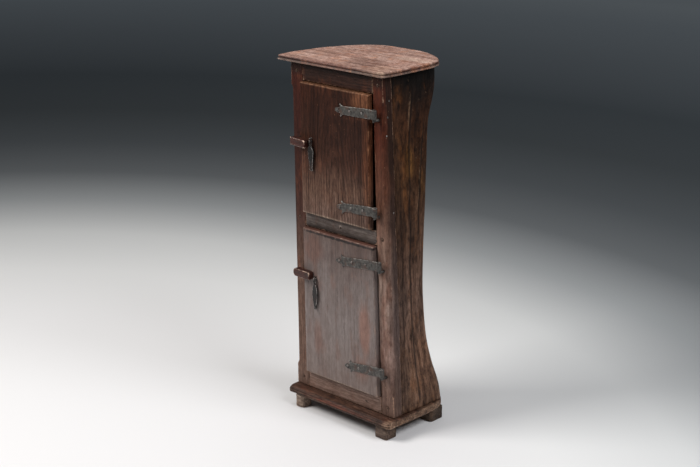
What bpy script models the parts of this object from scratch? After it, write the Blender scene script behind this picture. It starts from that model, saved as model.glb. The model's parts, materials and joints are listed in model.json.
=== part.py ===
# Small cupboard made from a hollowed, waisted tree trunk.
# The open front of the trunk is closed by a pegged frame with two plank doors,
# each on two wrought strap hinges, with a wooden turn latch and an iron drop pull.
# Lengths are in metres and +Z is up. While the pieces are laid out, x is zero at the
# right front corner of the body, y is zero on the front of the frame and grows to the
# back, and z is zero on the floor. The empty "cupboard" then centres the whole.

import math

import bmesh
import bpy
from mathutils import Matrix, Vector

# Fits
seat_gap = 0.0003
pin_gap = 0.0005
door_gap = 0.0015
door_left_gap = 0.002
cut_overrun = 0.004

# Heights from the floor up
foot_height = 0.042
base_board_thickness = 0.023
bottom_rail_height = 0.057
lower_opening_height = 0.4905
middle_rail_height = 0.047
upper_opening_height = 0.4175
top_rail_height = 0.057
top_board_thickness = 0.016

# Front of the body, which is narrower at the top because its right side leans in
body_width_base = 0.428
body_width_top = 0.385

# Hollow trunk
trunk_depth = 0.290
trunk_wall = 0.024
flute_depth = 0.003
flute_fade = 0.060
flute_count = 9
flute_drift = 1.6
trunk_levels = 20
trunk_steps = 60

# Depth of the trunk by height: share of the body's height, share of trunk_depth
trunk_profile_shares = (
    (0.0, 0.951), (0.03, 0.932), (0.065, 0.888), (0.114, 0.804), (0.178, 0.713), (0.24, 0.664),
    (0.335, 0.642), (0.43, 0.656), (0.55, 0.709), (0.67, 0.762), (0.79, 0.817), (0.845, 0.847),
    (0.874, 0.889), (0.903, 0.941), (0.935, 0.978), (1.0, 1.0),
)

# Plan of the trunk and base board from the right front corner round to the left one:
# share of the width from the left, share of the depth from the front
trunk_plan_shares = (
    (1.0, 0.0), (1.006, 0.19), (1.010, 0.39), (1.009, 0.54), (1.004, 0.67), (0.988, 0.77),
    (0.955, 0.84), (0.894, 0.90), (0.813, 0.95), (0.709, 0.985), (0.58, 1.0), (0.436, 1.0),
    (0.332, 0.98), (0.254, 0.93), (0.19, 0.845), (0.13, 0.73), (0.08, 0.60), (0.044, 0.457),
    (0.016, 0.30), (0.0, 0.147), (0.0, 0.0),
)

# Frame
stile_depth = 0.040
left_stile_width_base = 0.054
left_stile_width_top = 0.051
right_stile_width_base = 0.0525
right_stile_width_top = 0.0395
rebate_width = 0.008
stile_chamfer = 0.009
stile_arris = 0.001
chamfer_stop_low = 0.065
chamfer_stop_high = 0.074
chamfer_runout = 0.012
tenon_length = 0.030
tenon_thickness = 0.012
tenon_inset = 0.016
tenon_shoulder = 0.009
tenon_gap = 0.0005
peg_radius = 0.005
peg_proud = 0.001
peg_depth = 0.033
peg_sides = 8
rail_hole_radius = 0.004
rail_hole_depth = 0.012

# Nails in the outer side of the right stile: share of side_nail_run, which is measured down
# from the top board, and share of stile_depth from the front
side_nail_run = 0.416
side_nail_shares = ((0.183, 0.625), (0.298, 0.425), (0.430, 0.275), (1.0, 0.725))
side_nail_radius = 0.0032
side_nail_height = 0.0014
side_nail_shank = 0.0026
side_nail_length = 0.024

# Top board
top_left_overhang = 0.035
top_right_overhang = 0.022
top_front_overhang = 0.023
top_board_depth = 0.334
top_corner_rounding = 0.004
board_steps = 48
corner_steps = 3

# Plan of the top board, given like that of the trunk
top_plan_shares = (
    (1.0, 0.0), (1.016, 0.13), (1.022, 0.30), (1.024, 0.45), (1.021, 0.60), (1.009, 0.69),
    (0.992, 0.755), (0.950, 0.817), (0.903, 0.87), (0.831, 0.924), (0.768, 0.96), (0.69, 0.99),
    (0.592, 1.0), (0.45, 1.0), (0.36, 0.992), (0.30, 0.968), (0.25, 0.925), (0.19, 0.855),
    (0.14, 0.765), (0.10, 0.675), (0.064, 0.57), (0.034, 0.455), (0.018, 0.33), (-0.004, 0.17),
    (0.0, 0.0),
)

# Moulded edge of the top board: share of its thickness, share of top_edge_relief
top_edge_relief = 0.0055
top_edge_shares = ((0.0, 0.25), (0.12, 0.0), (0.30, 0.0), (0.38, 0.75), (0.50, 0.60),
                   (0.72, 0.30), (0.90, 0.50), (1.0, 1.0))

# Base board
base_left_overhang = 0.003
base_right_overhang = 0.013
base_front_overhang = 0.042
base_back_overhang = 0.005
base_corner_rounding = 0.009
base_front_wear = 0.011
base_side_wear = 0.0025

# Worn edge of the base board: share of its thickness, share of the wear
base_edge_shares = ((0.0, 0.55), (0.22, 0.0), (0.50, 0.0), (0.80, 0.35), (0.94, 0.68), (1.0, 1.0))

# Feet: width, depth, rounding, distance in from the side of the body, place from its front
front_foot_width = 0.050
front_foot_depth = 0.048
front_foot_rounding = 0.005
front_foot_side_inset = 0.002
front_foot_set_forward = 0.033
left_foot_width = 0.040
left_foot_depth = 0.044
left_foot_rounding = 0.012
left_foot_side_inset = 0.022
left_foot_set_forward = 0.038
rear_foot_width = 0.050
rear_foot_depth = 0.062
rear_foot_rounding = 0.009
rear_foot_side_outset = 0.008
rear_foot_setback = 0.162

# Divider and its ledges
divider_thickness = 0.018
divider_drop = 0.012
ledge_height = 0.020
ledge_width = 0.018
ledge_start = 0.055
ledge_end = 0.145

# Doors
door_thickness = 0.022
door_proud = 0.015
door_arris = 0.003
upper_hinge_gap = 0.005
lower_hinge_gap = 0.0035

# Strap hinges. The knuckle turns on a pin that is one piece with an arm driven into the stile
knuckle_beyond_door = 0.027
knuckle_radius = 0.0082
knuckle_height = 0.028
pin_radius = 0.004
pin_rise = 0.002
pintle_arm_end = 0.028
round_sides = 12
strap_thickness = 0.003
strap_height = 0.034
upper_top_strap_length = 0.162
upper_bottom_strap_length = 0.160
lower_top_strap_length = 0.184
lower_bottom_strap_length = 0.160
upper_top_strap_droop = math.radians(2.5)
upper_bottom_strap_droop = math.radians(4.3)
lower_top_strap_droop = math.radians(4.4)
lower_bottom_strap_droop = math.radians(4.6)

# Middle of each knuckle, measured inside the opening from its top or its bottom
upper_top_hinge_below = 0.057
upper_bottom_hinge_above = 0.0635
lower_top_hinge_below = 0.0565
lower_bottom_hinge_above = 0.091

# Upper half of a strap: share of its length from the knuckle, share of half its height
strap_shares = (
    (0.05, 0.80), (0.14, 0.86), (0.30, 0.87), (0.52, 0.84), (0.70, 0.78), (0.79, 0.76),
    (0.825, 0.88), (0.862, 1.18), (0.878, 1.10), (0.858, 0.62), (0.90, 0.48), (0.955, 0.44),
    (1.0, 0.20),
)

# Nails of a strap: share of its length from the knuckle
strap_nail_shares = (0.31, 0.62, 0.92)
strap_nail_radius = 0.0048
strap_nail_height = 0.003
strap_nail_shank = 0.0034
strap_nail_length = 0.021
nail_head_sides = 10
nail_hole_gap = 0.0004

# Turn latches: a grip outside, a spindle through the door and a tongue behind the stile
grip_depth = 0.022
grip_arris = 0.0025
grip_corner_rounding = 0.004
spindle_radius = 0.006
spindle_seat = 0.018
spindle_gap = 0.0005
tongue_thickness = 0.007
tongue_clearance = 0.0012
tongue_half_width = 0.0075
tongue_length = 0.036
tongue_arris = 0.0015
spindle_end = 0.004
upper_latch_below = 0.189
upper_latch_from_left = 0.076
upper_grip_length = 0.063
upper_grip_height = 0.025
upper_grip_tail = 0.0145
upper_grip_droop = math.radians(3.0)
lower_latch_below = 0.150
lower_latch_from_left = 0.079
lower_grip_length = 0.071
lower_grip_height = 0.026
lower_grip_tail = 0.020
lower_grip_droop = math.radians(1.5)
rest_peg_radius = 0.009
rest_peg_seat = 0.018
upper_rest_peg_from_left = 0.036
lower_rest_peg_from_left = 0.041

# Drop pulls: an iron staple in the door and a leaf-shaped drop that swings on it
staple_radius = 0.0018
staple_leg_length = 0.014
drop_rod_radius = 0.0020
drop_running_gap = 0.0004
drop_standoff = 0.0065
drop_loop_half_width = 0.0044
drop_loop_length = 0.021
drop_thickness = 0.0044
staple_steps = 6
rod_sides = 8
upper_pull_from_left = 0.103
upper_pull_below = 0.174
upper_drop_length = 0.098
upper_drop_width = 0.024
upper_drop_lean = 0.003
lower_pull_from_left = 0.1105
lower_pull_below = 0.158
lower_drop_length = 0.103
lower_drop_width = 0.022
lower_drop_lean = 0

# Right half of a drop's leaf: share of the leaf's length downwards, share of half its width
upper_leaf_shares = ((0.0, 0.40), (0.10, 0.70), (0.22, 1.0), (0.50, 0.78), (0.78, 0.50),
                     (0.90, 0.42), (0.955, 0.60), (1.0, 0.34))
lower_leaf_shares = ((0.0, 0.42), (0.12, 0.82), (0.35, 1.0), (0.60, 0.88), (0.80, 0.52),
                     (0.90, 0.30), (0.95, 0.42), (1.0, 0.22))

# Heights that follow
base_board_top = foot_height + base_board_thickness
body_bottom = base_board_top + seat_gap
lower_opening_bottom = base_board_top + bottom_rail_height
lower_opening_top = lower_opening_bottom + lower_opening_height
upper_opening_bottom = lower_opening_top + middle_rail_height
upper_opening_top = upper_opening_bottom + upper_opening_height
top_board_bottom = upper_opening_top + top_rail_height
body_top = top_board_bottom - seat_gap
body_height = top_board_bottom - base_board_top

# Fits that follow
left_corner = -body_width_base
rebate_depth = door_thickness - door_proud + seat_gap
door_front = -door_proud
door_back = door_thickness - door_proud
strap_back = door_front - seat_gap
strap_front = strap_back - strap_thickness
knuckle_y = strap_front - seat_gap
divider_top = upper_opening_bottom - divider_drop
divider_bottom = divider_top - divider_thickness

# Places of the top and base boards in plan
top_low_x = left_corner - top_left_overhang
top_high_x = body_width_top - body_width_base + top_right_overhang
top_low_y = -top_front_overhang
top_high_y = top_low_y + top_board_depth
base_low_x = left_corner - base_left_overhang
base_high_x = base_right_overhang
base_low_y = -base_front_overhang
base_high_y = trunk_profile_shares[0][1] * trunk_depth + base_back_overhang
grip_front = door_front - seat_gap - grip_depth


# Lines of the front that every neighbour is fitted to

def mix(low, high, share):
    return low + (high - low) * share


def height_share(z):
    return (z - base_board_top) / body_height


def right_corner(z):
    return mix(0, body_width_top - body_width_base, height_share(z))


def left_edge(z):
    width = mix(left_stile_width_base, left_stile_width_top, height_share(z))
    return left_corner + width


def right_edge(z):
    width = mix(right_stile_width_base, right_stile_width_top, height_share(z))
    return right_corner(z) - width


# Shape of the trunk

def smooth_through(pairs, at):
    """Value at a place on a smooth curve through (place, value) pairs."""
    last = len(pairs) - 1
    slopes = []
    for i in range(last + 1):
        before, after = pairs[max(i - 1, 0)], pairs[min(i + 1, last)]
        slopes.append((after[1] - before[1]) / (after[0] - before[0]))
    i = 0
    while i < last - 1 and at > pairs[i + 1][0]:
        i += 1
    run = pairs[i + 1][0] - pairs[i][0]
    t = (at - pairs[i][0]) / run
    start_value, start_slope = 2 * t**3 - 3 * t**2 + 1, t**3 - 2 * t**2 + t
    end_value, end_slope = 3 * t**2 - 2 * t**3, t**3 - t**2
    return (start_value * pairs[i][1] + start_slope * run * slopes[i]
            + end_value * pairs[i + 1][1] + end_slope * run * slopes[i + 1])


def plan_points(plan, low, high, steps):
    """Points of a plan between two corners, from the right front round to the left front."""
    last = len(plan) - 1
    across = [(i / last, row[0]) for i, row in enumerate(plan)]
    back = [(i / last, row[1]) for i, row in enumerate(plan)]
    points = []
    for step in range(steps + 1):
        at = step / steps
        points.append((mix(low[0], high[0], smooth_through(across, at)),
                       mix(low[1], high[1], smooth_through(back, at))))
    return points


def flute(at, share):
    """How far the hewn surface lies in from the mean here, from -1 to 1."""
    slow = math.cos(flute_count * math.pi * at + flute_drift * share)
    fast = math.cos((2 * flute_count - 1) * math.pi * at - 2 * flute_drift * share + 1)
    return -(2 * slow + fast) / 3


def exact_trunk_ring(z, inset, fluted):
    """Plan outline of the trunk at a height, from the right front round to the left."""
    share = height_share(z)
    depth = trunk_depth * smooth_through(trunk_profile_shares, share) - inset
    front = stile_depth + seat_gap
    middle = (right_corner(z) + left_corner) / 2
    ring = plan_points(trunk_plan_shares, (left_corner + inset, front),
                       (right_corner(z) - inset, depth), trunk_steps)
    if fluted:
        for step in range(1, trunk_steps):
            x, y = ring[step]
            fade = min(1, (y - front) / flute_fade)
            sunk = flute_depth * flute(step / trunk_steps, share) * fade
            inward = Vector((middle - x, depth / 3 - y)).normalized() * sunk
            ring[step] = (x + inward.x, max(front, y + inward.y))
    return ring


def level_height(level):
    return mix(body_bottom, body_top, level / (trunk_levels - 1))


def trunk_ring(z, inset):
    """Plan outline of the smooth inner side, straight between the trunk's levels."""
    place = (z - body_bottom) / (body_top - body_bottom) * (trunk_levels - 1)
    level = min(int(place), trunk_levels - 2)
    low = exact_trunk_ring(level_height(level), inset, False)
    high = exact_trunk_ring(level_height(level + 1), inset, False)
    share = place - level
    return [(mix(a[0], b[0], share), mix(a[1], b[1], share)) for a, b in zip(low, high)]


# Tools that make solids

def solid_from_rings(bm, rings, closed=False):
    """Skin rings of points that have the same count, with a cap on each open end."""
    rows = [[bm.verts.new(point) for point in ring] for ring in rings]
    count = len(rows[0])
    pairs = list(zip(rows, rows[1:]))
    if closed:
        pairs.append((rows[-1], rows[0]))
    for low, high in pairs:
        for i in range(count):
            j = (i + 1) % count
            bm.faces.new((low[i], low[j], high[j], high[i]))
    if not closed:
        bm.faces.new(list(reversed(rows[0])))
        bm.faces.new(rows[-1])


def upright(bm, low_outline, high_outline, low, high):
    """Solid between a plan outline at one height and one at another."""
    solid_from_rings(bm, [[(x, y, low) for x, y in low_outline],
                          [(x, y, high) for x, y in high_outline]])


def facing(bm, outline, front, back):
    """Solid with an outline in x and z, from a front to a back."""
    solid_from_rings(bm, [[(x, front, z) for x, z in outline],
                          [(x, back, z) for x, z in outline]])


def block(bm, low, high):
    """Box between two opposite corners."""
    outline = ((low[0], low[1]), (high[0], low[1]), (high[0], high[1]), (low[0], high[1]))
    upright(bm, outline, outline, low[2], high[2])


def rod(bm, path, radius, sides, closed=False):
    """Round bar along a path of points, mitred at its corners."""
    points = [Vector(point) for point in path]
    count = len(points)
    chords = [(points[(i + 1) % count] - points[i]).normalized() for i in range(count)]
    side = chords[0].orthogonal().normalized()
    rings = []
    for i, point in enumerate(points):
        before = chords[i - 1] if i or closed else chords[i]
        after = chords[i] if i < count - 1 or closed else chords[i - 1]
        tangent = (before + after).normalized()
        side = (side - side.dot(after) * after).normalized()
        other = after.cross(side)
        ring = []
        for step in range(sides):
            angle = math.tau * (step + 0.5) / sides
            spoke = radius * (math.cos(angle) * side + math.sin(angle) * other)
            spoke = spoke - spoke.dot(tangent) / tangent.dot(after) * after
            ring.append(point + spoke)
        rings.append(ring)
    solid_from_rings(bm, rings, closed)


def domed_head(radius, height, sides, base, out):
    """Rings of a nail head's low dome on a base point, standing out along a direction."""
    out = Vector(out)
    across = out.orthogonal().normalized()
    up = out.cross(across)
    rings = []
    for spread, rise in ((1.0, 0.0), (0.94, 0.45), (0.62, 0.85), (0.2, 1.0)):
        ring = []
        for step in range(sides):
            angle = math.tau * step / sides
            spoke = radius * spread * (math.cos(angle) * across + math.sin(angle) * up)
            ring.append(Vector(base) + spoke + out * height * rise)
        rings.append(ring)
    return rings


def nail(head_radius, head_height, shank, length, base, out):
    """Nail with a domed head and a tapered square shank."""
    out = Vector(out)
    across = out.orthogonal().normalized()
    up = out.cross(across)
    square = ((1, 1), (-1, 1), (-1, -1), (1, -1))
    head = bmesh.new()
    solid_from_rings(head, domed_head(head_radius, head_height, nail_head_sides, base, out))
    rings = []
    for size, depth in ((shank / 2, -head_height / 2), (shank / 2, length / 2), (shank / 4, length)):
        rings.append([Vector(base) + size * (a * across + b * up) - out * depth for a, b in square])
    foot = bmesh.new()
    solid_from_rings(foot, rings)
    return joined(head, foot)


def nail_hole(bm, shank, length, base, out):
    """Square hole for a nail, from in front of its head's base."""
    out = Vector(out)
    across = out.orthogonal().normalized()
    up = out.cross(across)
    half = shank / 2 + nail_hole_gap
    rings = []
    for depth in (-cut_overrun, length + nail_hole_gap):
        rings.append([Vector(base) + half * (a * across + b * up) - out * depth
                      for a, b in ((1, 1), (-1, 1), (-1, -1), (1, -1))])
    solid_from_rings(bm, rings)


def merge_into(bm, other):
    """Add the faces of another mesh to this one."""
    copies = {vert: bm.verts.new(vert.co) for vert in other.verts}
    for face in other.faces:
        bm.faces.new([copies[vert] for vert in face.verts])
    other.free()


def outward(bm):
    bmesh.ops.recalc_face_normals(bm, faces=bm.faces[:])


def combined(bm, other, operation):
    """The two meshes after a Boolean of this kind."""
    holders = []
    for mesh_data in (bm, other):
        outward(mesh_data)
        mesh = bpy.data.meshes.new("working")
        mesh_data.to_mesh(mesh)
        mesh_data.free()
        holder = bpy.data.objects.new("working", mesh)
        bpy.context.collection.objects.link(holder)
        holders.append(holder)
    change = holders[0].modifiers.new("change", "BOOLEAN")
    change.operation = operation
    change.solver = "EXACT"
    change.object = holders[1]
    graph = bpy.context.evaluated_depsgraph_get()
    result = bmesh.new()
    result.from_object(holders[0], graph)
    for holder in holders:
        mesh = holder.data
        bpy.data.objects.remove(holder)
        bpy.data.meshes.remove(mesh)
    return result


def joined(bm, other):
    return combined(bm, other, "UNION")


def cut_by(bm, other):
    return combined(bm, other, "DIFFERENCE")


def soften(bm, width, segments=1, keep=None, least=math.radians(35)):
    """Round the sharp edges, or those of them that a test keeps."""
    outward(bm)
    edges = [edge for edge in bm.edges if edge.calc_face_angle(0) > least
             and (keep is None or keep(edge))]
    bmesh.ops.bevel(bm, geom=edges, offset=width, segments=segments, profile=0.5,
                    affect="EDGES", clamp_overlap=True)


def turned(bm, angle, place):
    """Turn about the y direction, then move to a place."""
    matrix = Matrix.Translation(Vector(place)) @ Matrix.Rotation(angle, 4, "Y")
    bmesh.ops.transform(bm, matrix=matrix, verts=bm.verts[:])


# Objects and materials

def make_material(name, colour, roughness, metallic):
    material = bpy.data.materials.new(name)
    material.use_nodes = True
    shader = material.node_tree.nodes["Principled BSDF"]
    shader.inputs["Base Color"].default_value = (*colour, 1)
    shader.inputs["Roughness"].default_value = roughness
    shader.inputs["Metallic"].default_value = metallic
    return material


def make_empty(name, place, parent):
    empty = bpy.data.objects.new(name, None)
    bpy.context.collection.objects.link(empty)
    empty.parent = parent
    empty.location = Vector(place) - group_places.get(parent, Vector())
    group_places[empty] = Vector(place)
    return empty


def finish(name, bm, material, group, origin=None):
    """Make the object of a piece, with its origin at a place and its group as parent."""
    outward(bm)
    origin = Vector(origin) if origin else group_places[group]
    bmesh.ops.translate(bm, vec=-origin, verts=bm.verts[:])
    mesh = bpy.data.meshes.new(name)
    bm.to_mesh(mesh)
    bm.free()
    mesh.shade_smooth()
    mesh.set_sharp_from_angle(angle=math.radians(35))
    mesh.materials.append(material)
    piece = bpy.data.objects.new(name, mesh)
    bpy.context.collection.objects.link(piece)
    piece.parent = group
    piece.location = origin - group_places[group]
    return piece


# Trunk and boards

def make_trunk():
    bm = bmesh.new()
    rings = []
    for level in range(trunk_levels):
        z = level_height(level)
        outer = exact_trunk_ring(z, 0, True)
        inner = exact_trunk_ring(z, trunk_wall, False)
        rings.append([(x, y, z) for x, y in outer + inner[::-1]])
    rows = [[bm.verts.new(point) for point in ring] for ring in rings]
    count = len(rows[0])
    for low, high in zip(rows, rows[1:]):
        for i in range(count):
            j = (i + 1) % count
            bm.faces.new((low[i], low[j], high[j], high[i]))
    for row in (rows[0], rows[-1]):
        for i in range(trunk_steps):
            bm.faces.new((row[i], row[i + 1], row[count - 2 - i], row[count - 1 - i]))
    finish("trunk_shell", bm, trunk_wood, cupboard)


def board_outline(plan, low, high, rounding):
    """Outline of a board between two corners, with its front corners rounded."""
    outline = plan_points(plan, low, high, board_steps)[1:-1]
    for middle, turn in ((low[0] + rounding, math.pi), (high[0] - rounding, 1.5 * math.pi)):
        for step in range(corner_steps + 1):
            angle = turn + math.pi / 2 * step / corner_steps
            outline.append((middle + rounding * math.cos(angle),
                            low[1] + rounding + rounding * math.sin(angle)))
    return outline


def top_outline(inset):
    return board_outline(top_plan_shares, (top_low_x + inset, top_low_y + inset),
                         (top_high_x - inset, top_high_y - inset), top_corner_rounding)


def base_outline(wear):
    side, front = wear * base_side_wear, wear * base_front_wear
    return board_outline(trunk_plan_shares, (base_low_x + side, base_low_y + front),
                         (base_high_x - side, base_high_y - side), base_corner_rounding)


def make_top_board():
    bm = bmesh.new()
    rings = []
    for height, relief in top_edge_shares:
        z = top_board_bottom + height * top_board_thickness
        rings.append([(x, y, z) for x, y in top_outline(relief * top_edge_relief)])
    solid_from_rings(bm, rings)
    finish("top_board", bm, top_wood, cupboard)


def make_base_board():
    bm = bmesh.new()
    rings = []
    for height, wear in base_edge_shares:
        z = foot_height + height * base_board_thickness
        rings.append([(x, y, z) for x, y in base_outline(wear)])
    solid_from_rings(bm, rings)
    finish("base_board", bm, base_wood, cupboard)


def make_feet():
    right_foot_x = -front_foot_side_inset
    left_foot_x = left_corner + left_foot_side_inset
    rear_right_x = rear_foot_side_outset
    rear_left_x = base_low_x + base_high_x - rear_right_x
    feet = (
        ("foot_front_right", right_foot_x - front_foot_width, right_foot_x,
         -front_foot_set_forward, front_foot_depth, front_foot_rounding),
        ("foot_front_left", left_foot_x, left_foot_x + left_foot_width,
         -left_foot_set_forward, left_foot_depth, left_foot_rounding),
        ("foot_rear_right", rear_right_x - rear_foot_width, rear_right_x,
         rear_foot_setback, rear_foot_depth, rear_foot_rounding),
        ("foot_rear_left", rear_left_x, rear_left_x + rear_foot_width,
         rear_foot_setback, rear_foot_depth, rear_foot_rounding),
    )
    for name, low_x, high_x, front, depth, rounding in feet:
        bm = bmesh.new()
        block(bm, (low_x, front, 0), (high_x, front + depth, foot_height - seat_gap))
        soften(bm, rounding, 2, lambda edge: abs(edge.verts[0].co.z - edge.verts[1].co.z) > seat_gap)
        soften(bm, stile_arris, 1)
        finish(name, bm, foot_wood, cupboard)


def make_divider():
    for_divider = trunk_wall + seat_gap
    bm = bmesh.new()
    upright(bm, trunk_ring(divider_bottom, for_divider), trunk_ring(divider_top, for_divider),
            divider_bottom, divider_top)
    finish("divider_shelf", bm, inner_wood, cupboard)
    ledge_top = divider_bottom - seat_gap
    ledge_bottom = ledge_top - ledge_height
    for side, name in ((1, "shelf_ledge_right"), (-1, "shelf_ledge_left")):
        outlines = []
        picked = [i for i, point in enumerate(trunk_ring(ledge_bottom, for_divider))
                  if ledge_start < point[1] < ledge_end and i * 2 < trunk_steps]
        for z in (ledge_bottom, ledge_top):
            ring = trunk_ring(z, for_divider)
            wall = [ring[i] if side > 0 else ring[trunk_steps - i] for i in picked]
            inner = [(x - side * ledge_width, y) for x, y in wall]
            outlines.append(wall + inner[::-1])
        bm = bmesh.new()
        upright(bm, outlines[0], outlines[1], ledge_bottom, ledge_top)
        finish(name, bm, inner_wood, cupboard)


# Frame

def chamfer_at(z):
    """Width of the stopped chamfer on a stile's outer corner at a height."""
    low, high = base_board_top + chamfer_stop_low, top_board_bottom - chamfer_stop_high
    inside = min(z - low, high - z) / chamfer_runout
    return mix(stile_arris, stile_chamfer, max(0, min(1, inside)))


def stile_outline(z, side):
    """Plan of a stile: chamfer outside, arris and door rebate inside."""
    if side > 0:
        outer, inner = right_corner(z), right_edge(z)
    else:
        outer, inner = left_corner, left_edge(z)
    cut = chamfer_at(z)
    return [
        (outer, stile_depth), (outer, cut), (outer - side * cut, 0),
        (inner + side * stile_arris, 0), (inner, stile_arris), (inner, rebate_depth),
        (inner - side * rebate_width, rebate_depth), (inner - side * rebate_width, stile_depth),
    ]


def rail_heights():
    """Name, bottom and top of each rail."""
    return (
        ("bottom_rail", body_bottom, lower_opening_bottom),
        ("middle_rail", lower_opening_top, upper_opening_bottom),
        ("top_rail", upper_opening_top, body_top),
    )


def tenon_box(low, high, side, grow):
    """Corners of the tenon of a rail at one end, or of its mortise when it grows."""
    middle = (low + high) / 2
    if side > 0:
        shoulder = right_edge(middle)
        root, tip = shoulder - rebate_width - tenon_length / 3, shoulder - rebate_width + tenon_length
    else:
        shoulder = left_edge(middle)
        root, tip = shoulder + rebate_width + tenon_length / 3, shoulder + rebate_width - tenon_length
    tip += side * grow
    return ((min(root, tip), tenon_inset - grow, low + tenon_shoulder - grow),
            (max(root, tip), tenon_inset + tenon_thickness + grow, high - tenon_shoulder + grow))


def peg_places():
    """Name, x and z of each of the six pegs that hold the tenons."""
    places = []
    for name, low, high in rail_heights():
        z = (low + high) / 2
        places.append((name + "_right_peg", (right_corner(z) + right_edge(z)) / 2, z))
        places.append((name + "_left_peg", (left_corner + left_edge(z)) / 2, z))
    return places


def peg_cutter(bm):
    for name, x, z in peg_places():
        rod(bm, [(x, -cut_overrun, z), (x, peg_depth + seat_gap, z)],
            peg_radius + tenon_gap, peg_sides)


def make_rails():
    shoulder = rebate_depth - seat_gap
    for name, low, high in rail_heights():
        bm = bmesh.new()
        outlines = []
        for z in (low, high):
            right, left = right_edge(z) - seat_gap, left_edge(z) + seat_gap
            outlines.append([
                (left, 0), (right, 0), (right, shoulder), (right - rebate_width, shoulder),
                (right - rebate_width, stile_depth), (left + rebate_width, stile_depth),
                (left + rebate_width, shoulder), (left, shoulder),
            ])
        upright(bm, outlines[0], outlines[1], low, high)
        for side in (1, -1):
            tenon = bmesh.new()
            block(tenon, *tenon_box(low, high, side, 0))
            bm = joined(bm, tenon)
        cutter = bmesh.new()
        peg_cutter(cutter)
        if name == "middle_rail":
            x, z = (left_edge(low) + right_edge(low)) / 2, (low + high) / 2
            rod(cutter, [(x, -cut_overrun, z), (x, rail_hole_depth, z)], rail_hole_radius, round_sides)
        finish(name, cut_by(bm, cutter), frame_wood, cupboard)


def make_stiles():
    chamfer_low = base_board_top + chamfer_stop_low
    chamfer_high = top_board_bottom - chamfer_stop_high
    heights = (body_bottom, chamfer_low, chamfer_low + chamfer_runout,
               chamfer_high - chamfer_runout, chamfer_high, body_top)
    for side, name in ((1, "right_stile"), (-1, "left_stile")):
        bm = bmesh.new()
        solid_from_rings(bm, [[(x, y, z) for x, y in stile_outline(z, side)] for z in heights])
        cutter = bmesh.new()
        for rail, low, high in rail_heights():
            block(cutter, *tenon_box(low, high, side, tenon_gap))
        bm = cut_by(bm, cutter)
        cutter = bmesh.new()
        peg_cutter(cutter)
        if side > 0:
            for place in side_nail_centres():
                nail_hole(cutter, side_nail_shank, side_nail_length, place, (1, 0, 0))
            for hinge in hinges:
                pintle_arm(cutter, hinge, seat_gap)
        else:
            for latch in latches:
                x, z = left_corner + latch["peg_from_left"], latch["height"]
                rod(cutter, [(x, -cut_overrun, z), (x, rest_peg_seat + seat_gap, z)],
                    rest_peg_radius + seat_gap * 2, round_sides)
        finish(name, cut_by(bm, cutter), frame_wood, cupboard)


def side_nail_centres():
    """Where the nails stand on the outer side of the right stile."""
    centres = []
    for down, back in side_nail_shares:
        z = top_board_bottom - down * side_nail_run
        centres.append((right_corner(z) + seat_gap, back * stile_depth, z))
    return centres


def make_pegs_and_nails():
    for name, x, z in peg_places():
        bm = bmesh.new()
        rod(bm, [(x, -peg_proud, z), (x, peg_depth, z)], peg_radius, peg_sides)
        finish(name, bm, peg_wood, cupboard)
    for number, place in enumerate(side_nail_centres(), 1):
        bm = nail(side_nail_radius, side_nail_height, side_nail_shank, side_nail_length,
                  place, (1, 0, 0))
        finish(f"stile_nail_{number}", bm, iron, cupboard)
    for latch in latches:
        bm = bmesh.new()
        x, z = left_corner + latch["peg_from_left"], latch["height"]
        rod(bm, [(x, door_front, z), (x, rest_peg_seat, z)], rest_peg_radius, round_sides)
        finish(latch["name"] + "_rest_peg", bm, peg_wood, cupboard)


# Hinges

def hinge_place(hinge):
    return Vector((hinge["axis_x"](hinge["height"]), knuckle_y, hinge["height"]))


def pintle_arm(bm, hinge, grow):
    """Pin and arm in one bent rod, or the hole for the arm when it grows."""
    place = hinge_place(hinge)
    arm = bmesh.new()
    arm_z = -knuckle_height / 2 - seat_gap - pin_radius
    arm_end = (0, pintle_arm_end - knuckle_y + grow, arm_z)
    if grow:
        rod(arm, [(0, -knuckle_y - cut_overrun, arm_z), arm_end], pin_radius + 2 * grow, round_sides)
    else:
        rod(arm, [(0, 0, knuckle_height / 2 + pin_rise), (0, 0, arm_z), arm_end],
            pin_radius, round_sides)
    turned(arm, hinge["tilt"], place)
    merge_into(bm, arm)


def strap_outline(length):
    """Outline in x and z of a strap that runs to the left from its knuckle."""
    half = strap_height / 2
    neck = -knuckle_radius + pin_radius / 2
    upper = [(neck, knuckle_height / 2 - seat_gap)]
    upper += [(-share * length, rise * half) for share, rise in strap_shares]
    return upper + [(x, -z) for x, z in reversed(upper)]


def strap_nail_places(hinge):
    """Places of a strap's nails on its front face."""
    turn = Matrix.Rotation(hinge["tilt"] - hinge["droop"], 3, "Y")
    front = strap_front - seat_gap - knuckle_y
    return [hinge_place(hinge) + turn @ Vector((-share * hinge["length"], front, 0))
            for share in strap_nail_shares]


def make_strap(hinge, group):
    plate = bmesh.new()
    facing(plate, strap_outline(hinge["length"]), strap_front - knuckle_y, strap_back - knuckle_y)
    turned(plate, -hinge["droop"], (0, 0, 0))
    tube = bmesh.new()
    rod(tube, [(0, 0, -knuckle_height / 2), (0, 0, knuckle_height / 2)], knuckle_radius, round_sides)
    bm = joined(plate, tube)
    bore = bmesh.new()
    rod(bore, [(0, 0, -knuckle_height), (0, 0, knuckle_height)], pin_radius + pin_gap, round_sides)
    bm = cut_by(bm, bore)
    turned(bm, hinge["tilt"], hinge_place(hinge))
    holes = bmesh.new()
    for place in strap_nail_places(hinge):
        nail_hole(holes, strap_nail_shank, strap_nail_length, place, (0, -1, 0))
    finish(hinge["name"] + "_strap", cut_by(bm, holes), iron, group)


def make_pintle(hinge):
    bm = bmesh.new()
    pintle_arm(bm, hinge, 0)
    finish(hinge["name"] + "_pintle", bm, iron, cupboard)


# Doors, latches and pulls

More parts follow.
